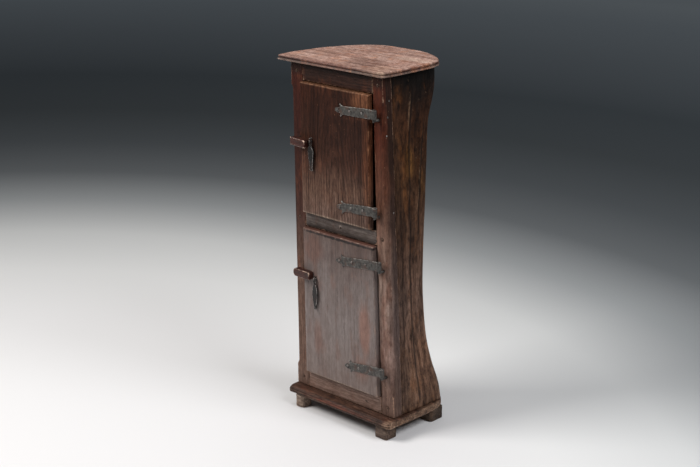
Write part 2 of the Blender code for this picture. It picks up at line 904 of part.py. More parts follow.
def door_outline(door):
    low, high = door["bottom"] + door_gap, door["top"] - door_gap
    return [(left_edge(low) + door_left_gap, low), (door["right"](low), low),
            (door["right"](high), high), (left_edge(high) + door_left_gap, high)]


def runs_back(edge):
    """Whether an edge runs along the y direction."""
    run = edge.verts[0].co - edge.verts[1].co
    return abs(run.y) > max(abs(run.x), abs(run.z))


def latch_place(latch):
    return Vector((left_corner + latch["from_left"], 0, latch["height"]))


def staple_path(pull):
    """Two legs in the door and a half circle round the drop's rod."""
    place = pull_place(pull)
    reach = drop_rod_radius + drop_running_gap + staple_radius
    path = [place + Vector((0, door_front + staple_leg_length - place.y, reach))]
    for step in range(staple_steps + 1):
        angle = math.pi * step / staple_steps
        path.append(place + reach * Vector((0, -math.sin(angle), math.cos(angle))))
    path.append(place + Vector((0, door_front + staple_leg_length - place.y, -reach)))
    return path


def pull_place(pull):
    return Vector((left_corner + pull["from_left"], door_front - drop_standoff, pull["height"]))


def make_door(door, group):
    bm = bmesh.new()
    facing(bm, door_outline(door), door_front, door_back)
    soften(bm, door_arris, 2, lambda edge: max(vert.co.y for vert in edge.verts) < 0)
    cutter = bmesh.new()
    for hinge in door["hinges"]:
        for place in strap_nail_places(hinge):
            nail_hole(cutter, strap_nail_shank, strap_nail_length, place, (0, -1, 0))
    x, z = latch_place(door["latch"]).xz
    rod(cutter, [(x, door_front - cut_overrun, z), (x, door_back + cut_overrun, z)],
        spindle_radius + spindle_gap, round_sides)
    path = staple_path(door["pull"])
    for leg in (path[0], path[-1]):
        rod(cutter, [(leg.x, door_front - cut_overrun, leg.z), (leg.x, leg.y + seat_gap, leg.z)],
            staple_radius + nail_hole_gap, rod_sides)
    finish(door["name"], cut_by(bm, cutter), door["wood"], group)
    for hinge in door["hinges"]:
        make_strap(hinge, group)
        make_pintle(hinge)
        for number, place in enumerate(strap_nail_places(hinge), 1):
            bm = nail(strap_nail_radius, strap_nail_height, strap_nail_shank,
                      strap_nail_length, place, (0, -1, 0))
            finish(f"{hinge['name']}_nail_{number}", bm, iron, group)
    staple = bmesh.new()
    rod(staple, path, staple_radius, rod_sides)
    finish(door["pull"]["name"] + "_staple", staple, iron, group)


def make_latch(latch, group):
    place = latch_place(latch)
    back = door_front - seat_gap
    grip = bmesh.new()
    low_x = latch["tail"] - latch["length"]
    block(grip, (low_x, back - grip_depth, -latch["grip_height"] / 2),
          (latch["tail"], back, latch["grip_height"] / 2))
    soften(grip, grip_corner_rounding, 2, lambda edge: runs_back(edge)
           and min(edge.verts[0].co.x, edge.verts[0].co.z) > 0)
    if latch["round_end"]:
        soften(grip, latch["grip_height"] / 3, 2, lambda edge: runs_back(edge)
               and edge.verts[0].co.x < 0)
    soften(grip, grip_arris, 2)
    turned(grip, latch["droop"], place)
    socket = bmesh.new()
    rod(socket, [place + Vector((0, back - spindle_seat - seat_gap, 0)),
                 place + Vector((0, back + cut_overrun, 0))], spindle_radius + spindle_gap, round_sides)
    finish(latch["name"] + "_grip", cut_by(grip, socket), latch_wood, group)
    tongue_front = stile_depth + tongue_clearance
    tongue_back = tongue_front + tongue_thickness
    spindle = bmesh.new()
    rod(spindle, [place + Vector((0, back - spindle_seat, 0)),
                  place + Vector((0, tongue_back + spindle_end, 0))], spindle_radius, round_sides)
    finish(latch["name"] + "_spindle", spindle, peg_wood, group)
    tongue = bmesh.new()
    block(tongue, place + Vector((-tongue_half_width, tongue_front, -tongue_length)),
          place + Vector((tongue_half_width, tongue_back, tongue_half_width + tongue_arris)))
    soften(tongue, tongue_arris, 1)
    hole = bmesh.new()
    rod(hole, [place + Vector((0, tongue_front - cut_overrun, 0)),
               place + Vector((0, tongue_back + cut_overrun, 0))],
        spindle_radius + spindle_gap, round_sides)
    finish(latch["name"] + "_tongue", cut_by(tongue, hole), latch_wood, group)


def make_drop(pull, group):
    """Loop of rod with a straight top, which is the axle, and a leaf below it."""
    place = pull_place(pull)
    half = drop_loop_half_width - drop_rod_radius
    bottom = -drop_loop_length
    loop_path = [(-half, 0, 0), (half, 0, 0)]
    loop_path += [(half + drop_rod_radius, 0, -drop_rod_radius * 2),
                  (half + drop_rod_radius, 0, bottom / 2), (half, 0, bottom), (-half, 0, bottom),
                  (-half - drop_rod_radius, 0, bottom / 2),
                  (-half - drop_rod_radius, 0, -drop_rod_radius * 2)]
    loop = bmesh.new()
    rod(loop, [place + Vector(point) for point in loop_path], drop_rod_radius, rod_sides, True)
    top = bottom + drop_rod_radius / 2
    leaf_length = pull["length"] + top
    outline = []
    for side, rows in ((1, pull["leaf"]), (-1, pull["leaf"][::-1])):
        outline += [(side * share * pull["width"] / 2 + down * pull["lean"], top - down * leaf_length)
                    for down, share in rows]
    leaf = bmesh.new()
    facing(leaf, [(place.x + x, place.z + z) for x, z in outline],
           place.y - drop_thickness / 2, place.y + drop_thickness / 2)
    finish(pull["name"], joined(leaf, loop), iron, group)


# Settings of the two doors

def upper_door_right(z):
    return right_edge(upper_opening_top) - upper_hinge_gap


def lower_door_right(z):
    return right_edge(z) - lower_hinge_gap


def upper_axis(z):
    return upper_door_right(z) + knuckle_beyond_door


def lower_axis(z):
    return lower_door_right(z) + knuckle_beyond_door


lower_lean = (right_edge(top_board_bottom) - right_edge(base_board_top)) / body_height
lower_tilt = math.atan(lower_lean)
upper_hinges = (
    {"name": "upper_door_top", "height": upper_opening_top - upper_top_hinge_below,
     "axis_x": upper_axis, "tilt": 0, "droop": upper_top_strap_droop,
     "length": upper_top_strap_length},
    {"name": "upper_door_bottom", "height": upper_opening_bottom + upper_bottom_hinge_above,
     "axis_x": upper_axis, "tilt": 0, "droop": upper_bottom_strap_droop,
     "length": upper_bottom_strap_length},
)
lower_hinges = (
    {"name": "lower_door_top", "height": lower_opening_top - lower_top_hinge_below,
     "axis_x": lower_axis, "tilt": lower_tilt, "droop": lower_top_strap_droop,
     "length": lower_top_strap_length},
    {"name": "lower_door_bottom", "height": lower_opening_bottom + lower_bottom_hinge_above,
     "axis_x": lower_axis, "tilt": lower_tilt, "droop": lower_bottom_strap_droop,
     "length": lower_bottom_strap_length},
)
hinges = upper_hinges + lower_hinges
upper_latch = {"name": "upper_latch", "height": upper_opening_top - upper_latch_below,
               "from_left": upper_latch_from_left, "length": upper_grip_length,
               "grip_height": upper_grip_height, "tail": upper_grip_tail,
               "droop": upper_grip_droop, "round_end": False,
               "peg_from_left": upper_rest_peg_from_left}
lower_latch = {"name": "lower_latch", "height": lower_opening_top - lower_latch_below,
               "from_left": lower_latch_from_left, "length": lower_grip_length,
               "grip_height": lower_grip_height, "tail": lower_grip_tail,
               "droop": lower_grip_droop, "round_end": True,
               "peg_from_left": lower_rest_peg_from_left}
latches = (upper_latch, lower_latch)
upper_pull = {"name": "upper_pull", "from_left": upper_pull_from_left,
              "height": upper_opening_top - upper_pull_below, "length": upper_drop_length,
              "width": upper_drop_width, "lean": upper_drop_lean, "leaf": upper_leaf_shares}
lower_pull = {"name": "lower_pull", "from_left": lower_pull_from_left,
              "height": lower_opening_top - lower_pull_below, "length": lower_drop_length,
              "width": lower_drop_width, "lean": lower_drop_lean, "leaf": lower_leaf_shares}

# Clear the scene, then make the materials, the groups and the pieces
for old in list(bpy.data.objects):
    bpy.data.objects.remove(old)

trunk_wood = make_material("trunk_wood", (0.085, 0.060, 0.047), 0.75, 0)
frame_wood = make_material("frame_wood", (0.110, 0.062, 0.043), 0.55, 0)
upper_door_wood = make_material("upper_door_wood", (0.120, 0.072, 0.050), 0.55, 0)
lower_door_wood = make_material("lower_door_wood", (0.130, 0.092, 0.072), 0.60, 0)
top_wood = make_material("top_wood", (0.210, 0.120, 0.085), 0.50, 0)
base_wood = make_material("base_wood", (0.170, 0.095, 0.065), 0.60, 0)
foot_wood = make_material("foot_wood", (0.130, 0.085, 0.060), 0.70, 0)
inner_wood = make_material("inner_wood", (0.200, 0.140, 0.095), 0.80, 0)
latch_wood = make_material("latch_wood", (0.180, 0.095, 0.065), 0.50, 0)
peg_wood = make_material("peg_wood", (0.200, 0.140, 0.105), 0.60, 0)
iron = make_material("iron", (0.060, 0.058, 0.055), 0.55, 1)

# The origin is the middle of the whole in plan
plan_of_all = top_outline(0) + base_outline(0) + [(left_corner, grip_front)]
middle_x = (min(x for x, y in plan_of_all) + max(x for x, y in plan_of_all)) / 2
middle_y = (min(y for x, y in plan_of_all) + max(y for x, y in plan_of_all)) / 2
group_places = {None: Vector((middle_x, middle_y, 0))}
cupboard = make_empty("cupboard", (0, 0, 0), None)
doors = (
    {"name": "upper_door", "bottom": upper_opening_bottom, "top": upper_opening_top,
     "right": upper_door_right, "hinges": upper_hinges, "latch": upper_latch,
     "pull": upper_pull, "wood": upper_door_wood},
    {"name": "lower_door", "bottom": lower_opening_bottom, "top": lower_opening_top,
     "right": lower_door_right, "hinges": lower_hinges, "latch": lower_latch,
     "pull": lower_pull, "wood": lower_door_wood},
)

make_trunk()
make_top_board()
make_base_board()
make_feet()
make_divider()
make_rails()
make_stiles()
make_pegs_and_nails()
for door in doors:
    door_axis = make_empty(door["name"] + "_axis", hinge_place(door["hinges"][1]), cupboard)
    make_door(door, door_axis)
    latch_axis = make_empty(door["latch"]["name"] + "_axis", latch_place(door["latch"]), door_axis)
    make_latch(door["latch"], latch_axis)
    pull_axis = make_empty(door["pull"]["name"] + "_axis", pull_place(door["pull"]), door_axis)
    make_drop(door["pull"], pull_axis)

bpy.context.view_layer.update()
for piece in bpy.data.objects:
    if piece.type == "EMPTY" and piece.parent:
        x, y, z = piece.matrix_world.translation
        print(f"{piece.name}: {x:.5f} {y:.5f} {z:.5f}")
print(f"middle of the layout {middle_x:.5f} {middle_y:.5f}")
print(f"lower door axis leans {lower_lean:.5f} along x for each metre up")
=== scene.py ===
import json
import math

import bmesh
import bpy
import numpy as np
from mathutils import Matrix, Vector


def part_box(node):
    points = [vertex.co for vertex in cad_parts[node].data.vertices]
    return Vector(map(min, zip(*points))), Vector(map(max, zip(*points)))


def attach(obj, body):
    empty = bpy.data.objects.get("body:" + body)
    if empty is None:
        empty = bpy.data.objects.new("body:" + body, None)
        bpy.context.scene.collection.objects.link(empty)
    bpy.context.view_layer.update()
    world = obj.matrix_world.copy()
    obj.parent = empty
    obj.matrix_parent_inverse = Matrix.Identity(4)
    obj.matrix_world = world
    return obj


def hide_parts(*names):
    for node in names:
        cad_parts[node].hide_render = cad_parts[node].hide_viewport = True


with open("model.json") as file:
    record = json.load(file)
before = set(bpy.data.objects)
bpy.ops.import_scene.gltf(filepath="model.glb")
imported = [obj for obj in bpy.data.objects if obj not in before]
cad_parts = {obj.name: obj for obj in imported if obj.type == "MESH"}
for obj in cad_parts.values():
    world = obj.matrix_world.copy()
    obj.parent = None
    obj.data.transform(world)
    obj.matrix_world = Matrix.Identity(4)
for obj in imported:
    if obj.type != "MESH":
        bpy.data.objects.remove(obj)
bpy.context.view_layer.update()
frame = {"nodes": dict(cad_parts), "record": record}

bodyOf = {node: body for body, members in frame["record"]["behaviour"]["bodies"].items() for node in members}
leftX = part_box("left_stile")[0].x      # left side of the body
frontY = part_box("left_stile")[0].y     # front of the frame
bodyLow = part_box("left_stile")[0].z
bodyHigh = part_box("left_stile")[1].z
cupboardHeight = 1.15
print("loaded the frame")


def addObject(name, data):
    made = bpy.data.objects.new(name, data)
    bpy.context.collection.objects.link(made)
    return made


# Camera, at the photograph's angle

cameraLooks = {
    "place": (3.10757, -3.24698, 2.01757),
    "azimuth": 44.56,     # degrees
    "down": 17.65,
    "roll": -0.6925,
    "lens": 77.142857,
}


def addCamera(looks):
    azimuth, down, roll = (math.radians(looks[key]) for key in ("azimuth", "down", "roll"))
    right = Vector((math.cos(azimuth), math.sin(azimuth), 0))
    ahead = Vector((-math.sin(azimuth) * math.cos(down), math.cos(azimuth) * math.cos(down), -math.sin(down)))
    up = right.cross(ahead)
    tiltedRight = right * math.cos(roll) + up * math.sin(roll)
    tiltedUp = up * math.cos(roll) - right * math.sin(roll)
    turn = Matrix((tiltedRight, tiltedUp, -ahead)).transposed().to_4x4()
    data = bpy.data.cameras.new("camera")
    data.lens = looks["lens"]
    data.sensor_width = 36
    camera = addObject("camera", data)
    camera.matrix_world = Matrix.Translation(looks["place"]) @ turn
    bpy.context.scene.camera = camera


addCamera(cameraLooks)
print("camera placed")


# Small tools for node trees and meshes

def colour(red, green, blue):      # screen colour from 0 to 255, as Blender's linear one
    parts = [value / 255 for value in (red, green, blue)]
    return tuple(part / 12.92 if part < 0.04045 else ((part + 0.055) / 1.055) ** 2.4 for part in parts) + (1,)


def addNode(tree, kind, sockets=None, **settings):
    made = tree.nodes.new("ShaderNode" + kind)
    for key, value in settings.items():
        setattr(made, key, value)
    for key, value in (sockets or {}).items():
        if isinstance(value, bpy.types.NodeSocket):
            tree.links.new(value, made.inputs[key])
        else:
            made.inputs[key].default_value = value
    return made


def newMaterial(name):
    material = bpy.data.materials.new(name)
    material.use_nodes = True
    tree = material.node_tree
    return material, tree, tree.nodes["Principled BSDF"], addNode(tree, "TexCoord").outputs["Object"]


def blendColours(tree, share, first, second, way="MIX"):
    made = addNode(tree, "Mix", {0: share, 6: first, 7: second}, data_type="RGBA", blend_type=way)
    return made.outputs[2]


def painted(tree, tone, share, tint):
    return blendColours(tree, share, tone, colour(*tint))


def calculate(tree, way, first, second=0.0, clamp=False):
    return addNode(tree, "Math", {0: first, 1: second}, operation=way, use_clamp=clamp).outputs[0]


def times(tree, first, second):
    return calculate(tree, "MULTIPLY", first, second)


def ruffled(tree, noise, amount):      # noise taken about zero
    return times(tree, calculate(tree, "SUBTRACT", noise, 0.5), amount)


def vectorMath(tree, way, first, second=(0, 0, 0), output="Vector"):
    return addNode(tree, "VectorMath", {0: first, 1: second}, operation=way).outputs[output]


def storedShare(tree, name):
    return addNode(tree, "Attribute", attribute_name=name).outputs["Fac"]


def spread(tree, value, low, high, lowTo=0.0, highTo=1.0, kind="SMOOTHSTEP"):
    made = addNode(tree, "MapRange", {"Value": value, "From Min": low, "From Max": high,
                                      "To Min": lowTo, "To Max": highTo}, interpolation_type=kind)
    return made.outputs["Result"]


def colourRamp(tree, value, stops):
    made = addNode(tree, "ValToRGB", {"Fac": value})
    elements = made.color_ramp.elements
    while len(elements) < len(stops):
        elements.new(0.5)
    for element, (place, shade) in zip(elements, stops):
        element.position = place
    for element, (place, shade) in zip(elements, stops):     # after the places, which can change the order
        element.color = colour(*shade)
    return made.outputs["Color"]


def noiseOf(tree, vector, scale, stretch=(1, 1, 1), detail=3.0, rough=0.55, shift=(0, 0, 0)):
    placed = addNode(tree, "Mapping", {"Vector": vector, "Scale": stretch, "Location": shift}).outputs[0]
    return addNode(tree, "TexNoise", {"Vector": placed, "Scale": scale, "Detail": detail,
                                      "Roughness": rough}).outputs[0]


def softNoise(points, size, seed):     # smooth random values from -1 to 1 over points in space
    place = points / np.asarray(size, float) + seed * 17.31
    cell = np.floor(place).astype(np.int64)
    part = place - cell
    part = part * part * (3 - 2 * part)
    total = np.zeros(len(points))
    for corner in range(8):
        step = np.array([corner & 1, corner >> 1 & 1, corner >> 2 & 1])
        grid = cell + step
        mixed = (grid[:, 0] * 73856093) ^ (grid[:, 1] * 19349663) ^ (grid[:, 2] * 83492791)
        mixed = ((mixed ^ (mixed >> 13)) * 1274126177) & 0x7fffffff
        weight = np.where(step, part, 1 - part).prod(axis=1)
        total += ((mixed >> 9) % 65536 / 32767.5 - 1) * weight
    return total


def between(low, high, share):
    return low + (high - low) * share


def readOut(items, name, width, kind=float):
    values = np.empty(len(items) * width, kind)
    items.foreach_get(name, values)
    return values.reshape(-1, width)


def pointsOf(mesh):
    return readOut(mesh.vertices, "co", 3)


def normalsOf(mesh):
    return readOut(mesh.vertex_normals, "vector", 3)


def edgesOf(mesh):
    return readOut(mesh.edges, "vertices", 2, np.int32)


def setPoints(mesh, points):
    mesh.vertices.foreach_set("co", np.ascontiguousarray(points, np.float32).ravel())
    mesh.update()


def relaxed(points, edges, times, keep=0.4):     # each point moves towards the mean of its neighbours
    count = np.bincount(edges.ravel(), minlength=len(points))[:, None]
    for _ in range(times):
        total = np.zeros_like(points)
        for axis in range(3):
            total[:, axis] = (np.bincount(edges[:, 0], points[edges[:, 1], axis], len(points))
                              + np.bincount(edges[:, 1], points[edges[:, 0], axis], len(points)))
        points = points * keep + total / np.maximum(count, 1) * (1 - keep)
    return points


def weldedCopy(node, name):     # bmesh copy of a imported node, its points joined
    made = bmesh.new()
    made.from_mesh(frame["nodes"][node].data)
    bmesh.ops.remove_doubles(made, verts=made.verts[:], dist=0.00002)
    mesh = bpy.data.meshes.new(name)
    made.to_mesh(mesh)
    made.free()
    return mesh


def evenMesh(mesh, voxel):      # the same form in even quads
    holder = addObject("working", mesh)
    remesh = holder.modifiers.new("even", "REMESH")
    remesh.mode = "VOXEL"
    remesh.voxel_size = voxel
    graph = bpy.context.evaluated_depsgraph_get()
    result = bpy.data.meshes.new_from_object(holder.evaluated_get(graph))
    bpy.data.objects.remove(holder)
    return result


def storeShare(mesh, name, values):
    mesh.attributes.new(name, "FLOAT", "POINT").data.foreach_set("value", np.ascontiguousarray(values, np.float32))


def wornForm(mesh, form, seed):
    edges = edgesOf(mesh)
    points = relaxed(pointsOf(mesh), edges, form["rounding"])
    setPoints(mesh, points)
    normals = normalsOf(mesh)
    bulge = ((points - relaxed(points, edges, form["edgeReach"])) * normals).sum(1) / form["edgeScale"]
    worn, hollow = np.clip(bulge, 0, 1), np.clip(-bulge, 0, 1)
    grainSize = np.asarray(form["grainSize"], float)
    push = form["wobble"] * softNoise(points, form["wobbleSize"], seed)
    push += form["ripple"] * softNoise(points, grainSize, seed + 1)
    push += form["ripple"] * 0.5 * softNoise(points, grainSize / 2.3, seed + 2)     # finer and half as high
    bite = np.clip(softNoise(points, form["chipSize"], seed + 3) + form["chipBias"], 0, 1)
    push -= form["chip"] * worn * bite
    push = np.where(push > 0, form["outward"] * np.tanh(push / form["outward"]), push)
    setPoints(mesh, points + normals * push[:, None])
    storeShare(mesh, "worn", np.clip(worn * (0.7 + 0.6 * bite), 0, 1))
    storeShare(mesh, "hollow", hollow)


def addPiece(name, mesh, material, body, slot, *nodes):
    mesh.materials.clear()
    mesh.materials.append(material)
    mesh.shade_smooth()
    piece = addObject(name, mesh)
    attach(piece, body)
    if nodes:
        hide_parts(*nodes)
    return piece


def wornPiece(node, material, slot, form, seed):
    mesh = evenMesh(weldedCopy(node, node + "_worn"), form["voxel"])
    wornForm(mesh, form, seed)
    return addPiece(node + "_worn", mesh, material, bodyOf[node], slot, node)


# Floor, light and air

floorLooks = {
    "size": 18.0,
    "paintedPoolPlace": (-0.24, -1.42),        # middle of the painted pool of light, its palest part
    "reach": 9.0,                      # the stops are shares of this distance
    "side": (0.191, 0.016),             # painted light, paler towards the left of the view
    "stops": ((0.0, (234, 233, 234)), (0.10, (234, 233, 234)), (0.16, (234, 233, 234)), (0.21, (232, 232, 232)),
              (0.26, (218, 219, 219)), (0.31, (168, 171, 173)), (0.36, (117, 121, 124)), (0.42, (98, 103, 107)),
              (0.50, (89, 95, 99)), (0.60, (96, 104, 110)), (0.75, (140, 149, 157)), (0.90, (174, 185, 194)),
              (1.1, (198, 209, 217))),
    "roughness": 0.9,
    "shine": 0.1,
}


def addFloor(looks):
    size = looks["size"]
    mesh = bpy.data.meshes.new("floor")
    mesh.from_pydata([(-size, -size, 0), (size, -size, 0), (size, size, 0), (-size, size, 0)], [], [(0, 1, 2, 3)])
    material, tree, shader, place = newMaterial("pale_floor")
    # painted light: the ramp paints a pool of light on the floor, palest round its middle, darker with distance and
    # towards the right of the view, and paler again far off
    away = vectorMath(tree, "DISTANCE", place, (*looks["paintedPoolPlace"], 0), "Value")
    right = vectorMath(tree, "DOT_PRODUCT", place, (*looks["side"], 0), "Value")
    share = calculate(tree, "DIVIDE", calculate(tree, "ADD", away, right), looks["reach"])
    tree.links.new(colourRamp(tree, share, looks["stops"]), shader.inputs["Base Color"])
    shader.inputs["Roughness"].default_value = looks["roughness"]
    shader.inputs["Specular IOR Level"].default_value = looks["shine"]
    mesh.materials.append(material)
    floor = addObject("floor", mesh)


lightLooks = {
    "worldColour": (0.84, 0.86, 0.88),
    "worldStrength": 0.10,
    "behind": (62, 67, 71),            # what the camera sees past the floor
    "lamps": (
        {"name": "key", "place": (-1.5, -2.3, 3.1), "aim": (0, -0.1, 0.6), "size": (1.7, 1.7), "watts": 122,
         "colour": (1.0, 0.98, 0.95)},
        {"name": "overhead", "place": (-0.6, 0.5, 3.3), "aim": (0, 0, 0.6), "size": (1.6, 1.6), "watts": 14,
         "colour": (1.0, 0.99, 0.97)},
        {"name": "side", "place": (2.6, 0.1, 2.9), "aim": (0.1, 0, 0.5), "size": (1.8, 1.8), "watts": 80,
         "colour": (0.97, 0.98, 1.0)},
    ),
}


def addLight(looks):
    world = bpy.data.worlds.new("air")
    bpy.context.scene.world = world
    world.use_nodes = True
    tree = world.node_tree
    background = tree.nodes["Background"]
    path = addNode(tree, "LightPath")
    seen = calculate(tree, "MAXIMUM", path.outputs["Is Camera Ray"], path.outputs["Is Glossy Ray"])
    tone = blendColours(tree, seen, (*looks["worldColour"], 1), colour(*looks["behind"]))
    tree.links.new(tone, background.inputs["Color"])
    strength = addNode(tree, "Mix", {0: seen, 2: looks["worldStrength"], 3: 1.0}).outputs[0]
    tree.links.new(strength, background.inputs["Strength"])
    for lamp in looks["lamps"]:
        data = bpy.data.lights.new(lamp["name"], "AREA")
        data.shape = "RECTANGLE"
        data.size, data.size_y = lamp["size"]
        data.energy = lamp["watts"]
        data.color = lamp["colour"]
        light = addObject(lamp["name"], data)
        light.location = lamp["place"]
        light.rotation_euler = (Vector(lamp["aim"]) - Vector(lamp["place"])).to_track_quat("-Z", "Y").to_euler()


addFloor(floorLooks)
addLight(lightLooks)
bpy.context.scene.view_settings.view_transform = "Standard"
print("floor and light placed")


# Old wood: growth rings, fibres, stains, cracks and rubbed edges, with painted shade in hollows and painted shade and
# light in some patches, all from nodes

lyingGrain = (0, math.radians(90), 0)      # grain that runs from side to side
woodLooks = {          # what a wood has where its own settings say nothing else
    "flow": False, "turn": (0, 0, 0), "bendScale": 9, "bend": 0.02, "lean": (0.05, 0.02, 0), "ringNoise": 2.0,
    "lateFrom": 0.35, "lateTo": 0.95, "lateTint": (0.50, 0.42, 0.38), "ringShare": 0.5,
    "fibreScale": 330, "fibreDark": (150, 140, 135), "fibreShare": 0.7,
    "bandScale": 75, "bandDark": (160, 140, 132), "bandShare": 0.6,
    "lineScale": 170, "lineStretch": 0.014, "lineTint": (0.36, 0.30, 0.28), "lineShare": 0.5,
    "mottleScale": 115, "mottleStretch": 0.35, "mottleDark": (110, 100, 96), "mottleShare": 0.7,
    "poreScale": 520, "poreShare": 0.5, "crackScale": 24, "crackWidth": 0.006, "crackShare": 0.85,
    "stirScale": 14, "stir": 0.10, "warmScale": 26, "warm": (120, 72, 46), "warmShare": 0.4,
    "blotchScale": 5, "blotchShare": 0.4, "patches": (),
    "rubScale": 90, "rubRagged": 1.3, "rubFrom": 0.35, "rubTo": 0.95, "rubShare": 0.75,
    "nickScale": 150, "nickShare": 0.35, "hollowDirtAndShade": 0.8,
    "roughHigh": 0.68, "roughLow": 0.46, "rubPolish": 0.08, "shine": 0.4,
    "fibreRelief": 0.5, "bandRelief": 0.5, "ringRelief": 0.25, "lineRelief": 0.4, "mottleRelief": 0.4,
    "crackRelief": 1.2, "poreRelief": 0.3, "bump": 0.5, "bumpDepth": 0.0016,
}


def setFinish(tree, shader, tone, rough, relief, looks):
    tree.links.new(tone, shader.inputs["Base Color"])
    tree.links.new(rough, shader.inputs["Roughness"])
    bump = addNode(tree, "Bump", {"Height": relief, "Strength": looks["bump"], "Distance": looks["bumpDepth"]})
    tree.links.new(bump.outputs["Normal"], shader.inputs["Normal"])


# a soft patch of colour, for stains and for painted shade and light
def stainOrPaintedLight(at, size, tint, share, ragged, scale=30, stretch=(1, 1, 0.3)):
    return {"at": at, "size": size, "tint": tint, "share": share, "ragged": ragged, "scale": scale,
            "stretch": stretch}


def stainOrPaintedLightShare(tree, place, patch):     # soft, with a ragged border
    offset = vectorMath(tree, "DIVIDE", vectorMath(tree, "SUBTRACT", place, patch["at"]), patch["size"])
    length = vectorMath(tree, "LENGTH", offset, output="Value")
    ragged = noiseOf(tree, place, patch["scale"], patch["stretch"], 3)
    moved = calculate(tree, "ADD", length, ruffled(tree, ragged, patch["ragged"]))
    return spread(tree, moved, 1.25, 0.45, 0.0, patch["share"])


